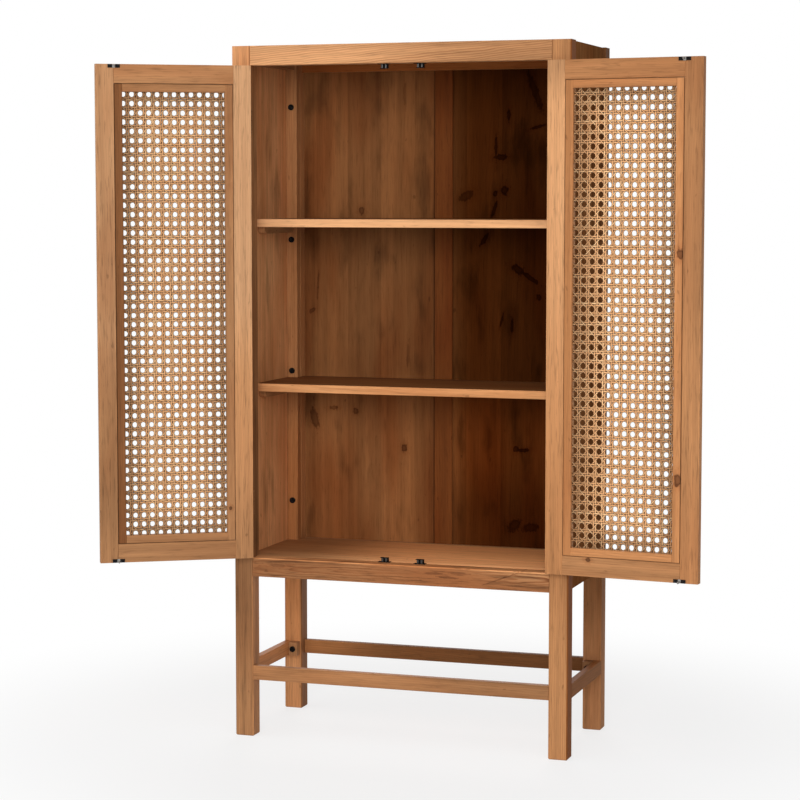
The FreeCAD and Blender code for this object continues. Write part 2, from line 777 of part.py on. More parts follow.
def hinge_leaf(label, side, knuckles, axis=("0", "0")):
    """A flat leaf beside the hinge axis, with a rolled knuckle at each given height above its foot."""
    item = body(label)
    low, high = across(side, DOOR_EDGE, f"{DOOR_EDGE} + leaf_thickness")
    x = (f"{axis[0]} + {low}", f"{axis[0]} + {high}")
    flat = (f"{axis[1]} + {DOOR_FACE}", f"{axis[1]} + leaf_reach")
    root = (axis[1], f"{axis[1]} + {LEAF_ROOT}")
    block(item, x, flat, (FIRST_HINGE, f"{FIRST_HINGE} + hinge_height"), "Leaf")
    for foot in knuckles:
        lower_end = f"{FIRST_HINGE} + {foot}"
        block(item, x, root, (lower_end, f"{lower_end} + {KNUCKLE_LENGTH}"), "Root")
        rod(item, "knuckle_radius", KNUCKLE_LENGTH, (*axis, lower_end), name="Knuckle")
    bore = "hinge_pin_radius + hinge_pin_clearance"
    rod(item, bore, "hinge_height", (*axis, FIRST_HINGE), name="Bore", cut=True)
    repeat_whole(item, "Z_Axis", HINGE_TRAVEL, "hinges_per_door")
    return item


def hinge_pins(label):
    """A pin for each hinge of both doors."""
    item = body(label)
    rod(item, "hinge_pin_radius", "hinge_height", (HINGE_X, HINGE_Y, FIRST_HINGE), name="Pin")
    repeat_whole(item, "Z_Axis", HINGE_TRAVEL, "hinges_per_door")
    mirror_whole(item)


post_leaves = hinge_leaf("post_hinge_leaves", SIDES["right"], ["0", THIRD_KNUCKLE], (HINGE_X, HINGE_Y))
mirror_whole(post_leaves)
hinge_pins("hinge_pins")


# Doors, each built closed about its own hinge axis and then hung open

def cane_net(label, side):
    """A flat woven sheet with diamond gaps between the beads, as one holed face given a thickness."""
    low_x, high_x = value(FRAME_LEFT), value(FRAME_RIGHT)
    low_z, high_z = value(FRAME_BOTTOM), value(FRAME_TOP)
    border = value("bead_clearance + bead_width")
    columns = int((high_x - low_x - 2 * border) / value("cane_pitch_across"))
    rows = int((high_z - low_z - 2 * border) / value("cane_pitch_down"))
    step_x = (high_x - low_x - 2 * border) / columns
    step_z = (high_z - low_z - 2 * border) / rows
    reach = value("cane_gap_width") / 2
    direction = -1 if side > 0 else 1
    depth = value(CANE_FRONT)

    def loop(points):
        return Part.makePolygon([FreeCAD.Vector(direction * x, depth, z) for x, z in points + points[:1]])

    wires = [loop([(low_x, low_z), (high_x, low_z), (high_x, high_z), (low_x, high_z)])]
    for column in range(columns):
        for row in range(rows):
            x = low_x + border + (column + 0.5) * step_x
            z = low_z + border + (row + 0.5) * step_z
            wires.append(loop([(x + reach, z), (x, z + reach), (x - reach, z), (x, z - reach)]))
    face = Part.makeFace(wires, "Part::FaceMakerBullseye")
    item = doc.addObject("Part::Feature", label)
    item.Label = label
    item.Shape = face.extrude(FreeCAD.Vector(0, value("cane_thickness"), 0))
    nodes.append(item)
    return item


def bead_frame(label, side, y):
    """Four beads round the cane: two uprights of full height with two cross beads between them."""
    left = f"({FRAME_LEFT} + bead_clearance)"
    right = f"({FRAME_RIGHT} - bead_clearance)"
    bottom = f"({FRAME_BOTTOM} + bead_clearance)"
    top = f"({FRAME_TOP} - bead_clearance)"
    uprights = ((left, f"{left} + bead_width"), (f"{right} - bead_width", right))
    crosses = ((bottom, f"{bottom} + bead_width"), (f"{top} - bead_width", top))
    beads = [
        board(f"{label}_upright", across(-side, *x), y, (bottom, top), "z", "bead_ease", is_node=False)
        for x in uprights
    ]
    between = across(-side, f"{left} + bead_width", f"{right} - bead_width")
    beads += [board(f"{label}_cross", between, y, z, "x", "bead_ease", is_node=False) for z in crosses]
    return group(label, beads)


def strike(label, side, spear_middle, plate_foot):
    """A small plate on the door's inner face, with a spear that enters between two rollers."""
    item = body(label, is_node=False)
    centre = f"({sign_of(-side)}{STRIKE_CENTRE})"
    spear_foot = f"({spear_middle} - spear_height / 2)"
    shoulder = f"({DOOR_BACK} + spear_reach - spear_point)"
    neck_end = f"({shoulder} - spear_head_width)"
    half_neck = "spear_neck_width / 2"
    half_head = "spear_head_width / 2"
    points = [
        (f"{centre} - {half_neck}", DOOR_BACK),
        (f"{centre} + {half_neck}", DOOR_BACK),
        (f"{centre} + {half_neck}", neck_end),
        (f"{centre} + {half_head}", shoulder),
        (centre, f"{DOOR_BACK} + spear_reach"),
        (f"{centre} - {half_head}", shoulder),
        (f"{centre} - {half_neck}", neck_end),
    ]
    pad(item, outline(item, points), "spear_height")
    block(
        item,
        (f"{centre} - strike_width / 2", f"{centre} + strike_width / 2"),
        (DOOR_BACK, f"{DOOR_BACK} + strike_sheet"),
        (f"{plate_foot} - {spear_foot}", f"{plate_foot} - {spear_foot} + strike_height"),
        "Plate",
    )
    place(item, z=spear_foot)
    return item


def strike_pair(label, side):
    """The strikes at the foot and the head of a door."""
    foot = strike(f"{label}_foot", side, LOWER_ROLLER, f"({DOOR_BOTTOM} + strike_margin)")
    head = strike(f"{label}_head", side, UPPER_ROLLER, f"({DOOR_TOP} - strike_margin - strike_height)")
    return group(label, [foot, head])


def door(name, side):
    """A framed door: two stiles, two rails, beads and cane, with its strikes and hinge leaves."""
    inward = -side
    full = (DOOR_BOTTOM, DOOR_TOP)
    depth = (DOOR_FACE, DOOR_BACK)
    hinge_span = across(inward, DOOR_EDGE, FRAME_LEFT)
    rail_span = across(inward, FRAME_LEFT, FRAME_RIGHT)
    meeting_span = across(inward, FRAME_RIGHT, f"{DOOR_EDGE} + {DOOR_WIDTH}")
    leaf_span = across(inward, DOOR_EDGE, f"{DOOR_EDGE} + leaf_thickness")
    hinge_stile = board(f"{name}_door_hinge_stile", hinge_span, depth, full, "z")
    hinge_mortises(hinge_stile, leaf_span, (DOOR_FACE, "leaf_reach"))
    meeting_stile = board(f"{name}_door_meeting_stile", meeting_span, depth, full, "z")
    top_rail = board(f"{name}_door_top_rail", rail_span, depth, (FRAME_TOP, DOOR_TOP), "x")
    bottom_rail = board(f"{name}_door_bottom_rail", rail_span, depth, (DOOR_BOTTOM, FRAME_BOTTOM), "x")
    tenon_depth = middle_of(depth, "tenon_thickness")
    hinge_end = across(inward, f"{FRAME_LEFT} - tenon_length", FRAME_LEFT)
    meeting_end = across(inward, FRAME_RIGHT, f"{FRAME_RIGHT} + tenon_length")
    hinge_room = across(inward, f"{FRAME_LEFT} - tenon_length - mortise_clearance", FRAME_LEFT)
    meeting_room = across(inward, FRAME_RIGHT, f"{FRAME_RIGHT} + tenon_length + mortise_clearance")
    for item, heights in (
        (top_rail, (f"({FRAME_TOP} + tenon_shoulder)", f"({DOOR_TOP} - tenon_shoulder)")),
        (bottom_rail, (f"({DOOR_BOTTOM} + tenon_shoulder)", f"({FRAME_BOTTOM} - tenon_shoulder)")),
    ):
        tenon(item, hinge_end, tenon_depth, heights)
        tenon(item, meeting_end, tenon_depth, heights)
        mortise(hinge_stile, hinge_room, roomy(tenon_depth), roomy(heights))
        mortise(meeting_stile, meeting_room, roomy(tenon_depth), roomy(heights))
    pieces = [
        hinge_stile,
        meeting_stile,
        top_rail,
        bottom_rail,
        bead_frame(f"{name}_door_inner_beads", side, (CANE_BACK, f"{CANE_BACK} + bead_thickness")),
        bead_frame(f"{name}_door_outer_beads", side, (f"{CANE_FRONT} - bead_thickness", CANE_FRONT)),
        cane_net(f"{name}_door_cane", side),
        strike_pair(f"{name}_door_strikes", side),
        hinge_leaf(f"{name}_door_hinge_leaves", inward, [SECOND_KNUCKLE]),
    ]
    for piece in pieces:
        hang(piece, side)


for name, side in SIDES.items():
    door(name, side)


# Every feature has to be sound, and every cut has to take material away, before anything is written

doc.recompute()
for item in doc.Objects:
    if {"Invalid", "Error"} & set(item.State):
        raise RuntimeError(f"{item.Label} failed: {item.State}")
for item in cuts:
    before = item.BaseFeature.Shape.Volume
    if item.Shape.Volume > before - LEAST_CUT:
        raise RuntimeError(f"{item.Label} cuts nothing")
for item in nodes:
    if item.Shape.isNull() or not item.Shape.isValid() or not item.Shape.Solids:
        raise RuntimeError(f"{item.Label} has no valid solid")

os.makedirs("parts", exist_ok=True)
for item in nodes:
    item.Shape.exportStep(os.path.join("parts", f"{item.Label}.step"))
print(f"{len(nodes)} sub-parts, {sum(len(item.Shape.Solids) for item in nodes)} solids")
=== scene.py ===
import json
import math
from dataclasses import dataclass

import bpy
import numpy as np
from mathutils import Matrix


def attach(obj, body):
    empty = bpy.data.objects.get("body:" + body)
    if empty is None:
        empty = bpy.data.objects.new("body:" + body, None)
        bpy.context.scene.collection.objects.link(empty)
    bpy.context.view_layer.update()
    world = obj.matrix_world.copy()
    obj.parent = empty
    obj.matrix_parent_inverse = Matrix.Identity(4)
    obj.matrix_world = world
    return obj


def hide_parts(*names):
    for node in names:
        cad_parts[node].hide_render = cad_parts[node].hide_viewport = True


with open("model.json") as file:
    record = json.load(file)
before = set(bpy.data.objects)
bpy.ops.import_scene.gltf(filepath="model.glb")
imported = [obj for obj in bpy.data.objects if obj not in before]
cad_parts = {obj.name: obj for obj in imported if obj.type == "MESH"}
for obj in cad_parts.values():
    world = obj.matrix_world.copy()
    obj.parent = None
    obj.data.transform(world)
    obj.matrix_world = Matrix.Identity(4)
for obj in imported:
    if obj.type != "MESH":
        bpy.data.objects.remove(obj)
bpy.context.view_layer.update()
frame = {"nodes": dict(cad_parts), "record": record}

bl_info = {
    "name": "Cane door cabinet",
    "version": (1, 0, 0),
    "blender": (4, 5, 0),
    "location": "3D View > Sidebar > Cabinet",
    "description": "Dresses a pine storage cabinet with woven cane doors and dark fittings",
    "category": "Object",
}

MM = 0.001
SEED = 7
DOORS = ("left", "right")


def linear(red, green, blue):
    """A colour given as 0 to 255 screen values, as linear values by the curve of a standard screen."""
    screen = np.array((red, green, blue)) / 255
    return tuple(np.where(screen <= 0.04045, screen / 12.92, ((screen + 0.055) / 1.055) ** 2.4))


# Settings in the sidebar

def number(name, description, default, **kind):
    """A number as a property, with its unit or subtype where it has one."""
    return bpy.props.FloatProperty(name=name, description=description, default=default, **kind)


def length(name, description, millimetres):
    """A size in millimetres as a property in metres."""
    return number(name, description, millimetres * MM, unit="LENGTH")


def angle(name, description, degrees):
    """A turn in degrees as a property."""
    return number(name, description, math.radians(degrees), subtype="ANGLE")


def colour(name, description, *screen):
    """A colour property, given as screen values."""
    return bpy.props.FloatVectorProperty(
        name=name, description=description, default=linear(*screen), subtype="COLOR", min=0, max=1)


class PineSettings(bpy.types.PropertyGroup):
    """Colours and figure of the waxed pine."""
    earlywood: colour("Earlywood", "Pale wood between the dark rings", 180, 129, 86)
    latewood: colour("Latewood", "Dark line at the end of each ring", 124, 71, 38)
    russet: colour("Russet", "Warm tone that drifts through the boards", 151, 94, 55)
    knot: colour("Knot", "Heart of a knot", 62, 28, 12)
    # One layer of this tint darkens a board. It serves for real staining and for the painted shade laid on
    # many boards.
    darkening: colour("Stain", "What one coat of brown stain leaves of the light", 204, 190, 174)
    ring_spacing: length("Ring spacing", "Growth of the tree in a year", 5.5)
    stave_width: length("Stave width", "Width of the strips glued up into a panel", 96)
    fibre_width: length("Fibre width", "Width of the fine streaks along the grain", 1.1)
    arris_width: length("Arris width", "Width of the rubbed band along the edges", 2.5)
    roughness: number("Roughness", "Roughness of the waxed surface", 0.58)


class CaneSettings(bpy.types.PropertyGroup):
    """Sizes and colours of the woven cane."""
    pitch_across: length("Pitch across", "Distance between two holes across the door", 21.6)
    pitch_down: length("Pitch down", "Distance between two holes down the door", 23.36)
    strand_width: length("Strand width", "Width of an upright or level strand", 5.2)
    diagonal_width: length("Diagonal width", "Width of a diagonal strand", 3.6)
    strand_thickness: length("Strand thickness", "Thickness of one cane strand", 0.7)
    pair_offset: length("Pair offset", "Distance of a strand from the middle of its pair", 2.6)
    wave: length("Wave", "How far a strand rises over the ones that it crosses", 0.45)
    sway: length("Sway", "How far a strand strays from its straight line", 0.3)
    # Painted shadow: how far in from the beads the cane is darkened, as the beads would shade it.
    bead_shadow_reach: length("Dust reach", "How far dust has settled in from the beads", 75)
    skin: colour("Skin", "Outer skin of the cane", 190, 141, 97)
    dry: colour("Dry cane", "Paler, drier strands", 210, 172, 128)
    darkening: colour("Stain", "Wax left beside the crossings", 134, 85, 42)


class FittingSettings(bpy.types.PropertyGroup):
    """Colours of the metal fittings and size of their screws."""
    black: colour("Black lacquer", "Lacquer on catches, strikes and bolts", 13, 12, 12)
    bare: colour("Bare steel", "Steel where the lacquer has rubbed off", 150, 147, 142)
    # The bare middle of a strike is rubbed steel that also stands in for painted glints on its spear.
    rubbed_glint_width: length("Rubbed width", "Width of the bare middle of a strike", 9)
    brass: colour("Aged brass", "Hinges that have gone brown", 158, 112, 68)
    tarnish: colour("Tarnish", "Dark film on the hinges", 122, 82, 48)
    nylon: colour("Nylon", "Rollers of the catches", 40, 35, 31)
    small_head: length("Small screw head", "Diameter of the screws in catches and strikes", 4.4)
    large_head: length("Large screw head", "Diameter of the screws in the hinges", 6)
    head_rise: length("Head rise", "How far a screw head stands up", 0.6)


class StudioSettings(bpy.types.PropertyGroup):
    """Camera, lamps and floor."""
    camera_right: length("Camera right", "Camera's distance to the right", 1889.8)
    camera_front: length("Camera front", "Camera's distance to the front", 5803.3)
    camera_height: length("Camera height", "Camera's height above the floor", 1417.8)
    camera_pitch: angle("Camera pitch", "How far the camera looks down", 5.012)
    camera_yaw: angle("Camera yaw", "How far the camera turns to the left", 18.579)
    lens: number("Lens", "Focal length", 105, subtype="DISTANCE_CAMERA")
    floor_reach: length("Floor reach", "Distance from the middle to the floor's edge", 60000)
    floor: colour("Floor", "Plain floor", 244, 244, 244)
    ambient: number("Ambient", "Light from all round", 0.19)
    front_light: number("Front light", "Light from the front, on top of the rest", 1.24)
    key_power: number("Key", "Lamp in front, near the camera", 220, unit="POWER")
    fill_power: number("Fill", "Lamp on the left", 32, unit="POWER")
    back_power: number("Back", "Lamp behind", 115, unit="POWER")


SETTINGS = {
    "cabinet_pine": PineSettings,
    "cabinet_cane": CaneSettings,
    "cabinet_fittings": FittingSettings,
    "cabinet_studio": StudioSettings,
}


# Shader expressions

class Value:
    """A quantity that varies over a surface. Arithmetic on it adds Math nodes to its finish."""

    def __init__(self, finish, socket):
        self.finish = finish
        self.socket = socket

    def output(self, name):
        """Another output of the same node."""
        return Value(self.finish, self.socket.node.outputs[name])

    def math(self, operation, *others):
        """One Math node on this value and others."""
        return self.finish.node("ShaderNodeMath", {"operation": operation}, dict(enumerate((self, *others))))

    def __add__(self, other):
        return self.math("ADD", other)

    __radd__ = __add__

    def __mul__(self, other):
        return self.math("MULTIPLY", other)

    __rmul__ = __mul__

    def __sub__(self, other):
        return self.math("SUBTRACT", other)

    def __rsub__(self, other):
        return self.finish.node("ShaderNodeMath", {"operation": "SUBTRACT"}, {0: other, 1: self})

    def __truediv__(self, other):
        return self.math("DIVIDE", other)

    def __rpow__(self, other):
        return self.finish.node("ShaderNodeMath", {"operation": "POWER"}, {0: other, 1: self})

    def __abs__(self):
        return self.math("ABSOLUTE")

    def lesser(self, other):
        return self.math("MINIMUM", other)

    def greater(self, other):
        return self.math("MAXIMUM", other)

    def root(self):
        return self.math("SQRT")

    def whole(self):
        return self.math("FLOOR")

    def part(self):
        return self.math("FRACT")

    def rise(self, low, high):
        """A smooth step from 0 at low to 1 at high."""
        return self.finish.node(
            "ShaderNodeMapRange", {"interpolation_type": "SMOOTHSTEP"}, {0: self, 1: low, 2: high})


class Nodes:
    """A node tree that expressions add to."""

    def __init__(self, owner):
        owner.use_nodes = True
        self.tree = owner.node_tree
        self.tree.nodes.clear()

    def put(self, socket, item):
        """Links a varying value to a socket, or sets the socket to a constant. A colour is opaque."""
        if isinstance(item, Value):
            self.tree.links.new(item.socket, socket)
        elif socket.type == "RGBA":
            socket.default_value = (*item, 1)
        else:
            socket.default_value = item

    def node(self, kind, settings=None, inputs=None):
        """Adds a node: its settings first, then the values or links of its sockets."""
        made = self.tree.nodes.new(kind)
        for name, setting in (settings or {}).items():
            setattr(made, name, setting)
        for name, item in (inputs or {}).items():
            self.put(made.inputs[name], item)
        return Value(self, made.outputs[0]) if made.outputs else None

    def place(self):
        """The point on the surface, in the cabinet's own frame."""
        return self.node("ShaderNodeTexCoord").output("Object")

    def split(self, vector):
        """The three parts of a vector."""
        parts = self.node("ShaderNodeSeparateXYZ", inputs={0: vector})
        return [parts.output(axis) for axis in "XYZ"]

    def point(self, *parts):
        """A vector from three values."""
        return self.node("ShaderNodeCombineXYZ", inputs=dict(enumerate(parts)))

    def noise(self, vector, scale=1.0, detail=2.0):
        """Smooth noise between about 0.25 and 0.75."""
        return self.node("ShaderNodeTexNoise", inputs={"Vector": vector, "Scale": scale, "Detail": detail})

    def dice(self, item):
        """A number from 0 to 1 thrown for each whole value."""
        return self.node("ShaderNodeTexWhiteNoise", {"noise_dimensions": "1D"}, {"W": item})

    def blend(self, share, first, second):
        """A colour that goes from the first to the second as the share goes from 0 to 1."""
        mix = self.node("ShaderNodeMix", {"data_type": "RGBA"}, {0: share, 6: first, 7: second})
        return mix.output(2)

    def brighten(self, base, factor):
        """A colour times a value."""
        return self.node("ShaderNodeVectorMath", {"operation": "SCALE"}, {0: base, "Scale": factor})

    def tint(self, first, second):
        """A colour times another, part by part."""
        return self.node("ShaderNodeVectorMath", {"operation": "MULTIPLY"}, {0: first, 1: second})

    def bump(self, height, distance, strength=1.0):
        """A normal bent by a height, one unit of which stands for the distance."""
        return self.node(
            "ShaderNodeBump", inputs={"Strength": strength, "Distance": distance, "Height": height})


class Finish(Nodes):
    """A material with one surface shader."""

    def __init__(self, name):
        self.material = bpy.data.materials.new(name)
        super().__init__(self.material)

    def surface(self, **sockets):
        """Adds the shader with its sockets, named with underscores for spaces, and shows it."""
        inputs = {name.replace("_", " "): item for name, item in sockets.items()}
        self.show(self.node("ShaderNodeBsdfPrincipled", inputs=inputs))

    def show(self, shader):
        """Makes a shader the surface of the material."""
        self.node("ShaderNodeOutputMaterial", inputs={"Surface": shader})


# Where the doors stand

def door_of(node):
    """The door that a node belongs to, or none."""
    return next((side for side in DOORS if node.startswith(f"{side}_door_")), None)


def hinge_of(side):
    """A door's hinge point and the turn about the upright axis that closes the door."""
    joints = frame["record"]["behaviour"]["joints"]
    joint = next(item for item in joints if item["name"] == f"{side}_door_hinge")
    return np.array(joint["pos_m"]), math.radians(joint["range_deg"][0]) * joint["axis"][2]


def turned(points, centre, turn):
    """Points turned about an upright axis through a centre."""
    cosine, sine = math.cos(turn), math.sin(turn)
    matrix = np.array(((cosine, -sine, 0), (sine, cosine, 0), (0, 0, 1)))
    return (points - centre) @ matrix.T + centre


def opened(points, side):
    """Points on a closed door, carried to where the door stands at rest."""
    centre, closing = hinge_of(side)
    return turned(points, centre, -closing)


def board_box(node):
    """Lowest and highest corner of a node, with its door closed."""
    mesh = frame["nodes"][node].data
    points = np.empty(3 * len(mesh.vertices))
    mesh.vertices.foreach_get("co", points)
    points = points.reshape(-1, 3)
    side = door_of(node)
    if side:
        points = turned(points, *hinge_of(side))
    return points.min(axis=0), points.max(axis=0)


# Pine

AXES = "XYZ"
ALONG, ACROSS, THROUGH = range(3)
EDGE_DEPTH = 2 * MM
BEAD_WIDTH = 20.5 * MM
BEAD_MITRE = 0.1 * MM
JOINT_LINE = 2.4 * MM


class Change:
    """A number that goes from one value to another along an axis, between two places in millimetres."""

    def __init__(self, first, last, axis, start, end):
        self.first = first
        self.last = last
        self.axis = AXES.index(axis)
        self.start = start * MM
        self.end = end * MM

    def at(self, parts):
        """The number at a point. The first value may itself be a change."""
        first = amount(self.first, parts)
        return first + parts[self.axis].rise(self.start, self.end) * (self.last - first)


def amount(item, parts):
    """A plain number, or what a change comes to at a point."""
    return item.at(parts) if isinstance(item, Change) else item


class FaceShade:
    """A face of a board, at the low or the high end of an axis, with its own tone and layers of staining
    tint. On the shelves and the bottom rail it paints light on that face, on the posts, the top and the rear
    top rail it paints shade, and on the back panels, the muntin and the rear stretcher it gives the rear
    face a plain tone that keeps the painted shade off it.
    """

    def __init__(self, axis, end, tone, tint_layers):
        self.axis = AXES.index(axis)
        self.end = end
        self.tone = tone
        self.tint_layers = tint_layers

    def inside(self, low, high, parts):
        """0 on the face and 1 a little way into the board."""
        place = parts[self.axis]
        way_in = place - float(low[self.axis]) if self.end == "low" else float(high[self.axis]) - place
        return way_in.rise(EDGE_DEPTH, 2 * EDGE_DEPTH)


class Knot:
    """A knot or a dark stroke: its place across and along the board and its half width in millimetres, how
    many times longer than wide it is, how far it leans in degrees and how dark it is.
    """

    def __init__(self, across, along, half_width, stretch=1.35, lean=0, share=1.0):
        self.across = across * MM
        self.along = along * MM
        self.half_width = half_width * MM
        self.half_length = stretch * half_width * MM
        self.cosine = math.cos(math.radians(lean))
        self.sine = math.sin(math.radians(lean))
        self.share = share

    def reach(self, along, across, ragged):
        """Squared distance from the middle, 1 on the outline, made ragged by a noise."""
        up = along - self.along
        aside = across - self.across
        lengthways = (up * self.cosine + aside * self.sine) / self.half_length
        sideways = (aside * self.cosine - up * self.sine) / self.half_width
        return (lengthways * lengthways + sideways * sideways) * (1 + ragged)


@dataclass
class Board:
    """How one piece of pine is cut. Its tone and its layers of staining tint are numbers or changes, and on
    many boards they also carry painted light and shade.
    """
    tone: object = 1.0
    figure: float = 0.15  # darkness of the rings
    pith: tuple = (150, 30)  # way from the middle to the pith, across and through, in millimetres
    grain: str = None  # axis of the grain, where it isn't the longest one
    staves: bool = False  # whether it is glued up from strips
    red: float = 0.3  # share of the russet clouds
    # Layers of staining tint: real staining, and painted shade where they change along an axis or set like
    # boards apart.
    darkening: object = 0
    # One face with its own tone and tint, which carries painted light and shade on many boards.
    edge: FaceShade = None
    # A bead darker than the rest of its frame carries painted shade.
    beads: tuple = (0, 0, 0)  # coats on the hinge side, the free side and the cross beads of a frame
    blotch: float = 0.0  # darkness of the long patches
    flecks: float = 0.2  # darkness of the short flecks
    slant: float = 0.0  # slope of the grain
    wild: float = 1.1  # how many rings the ripple moves the figure by
    sheen: float = 0.1  # specular level of the wax
    # Where a back panel meets the muntin: an open joint, darkened further by painted shadow of the proud
    # muntin.
    seam: tuple = None  # place across, in millimetres, and darkness of an open joint
    knots: tuple = ()
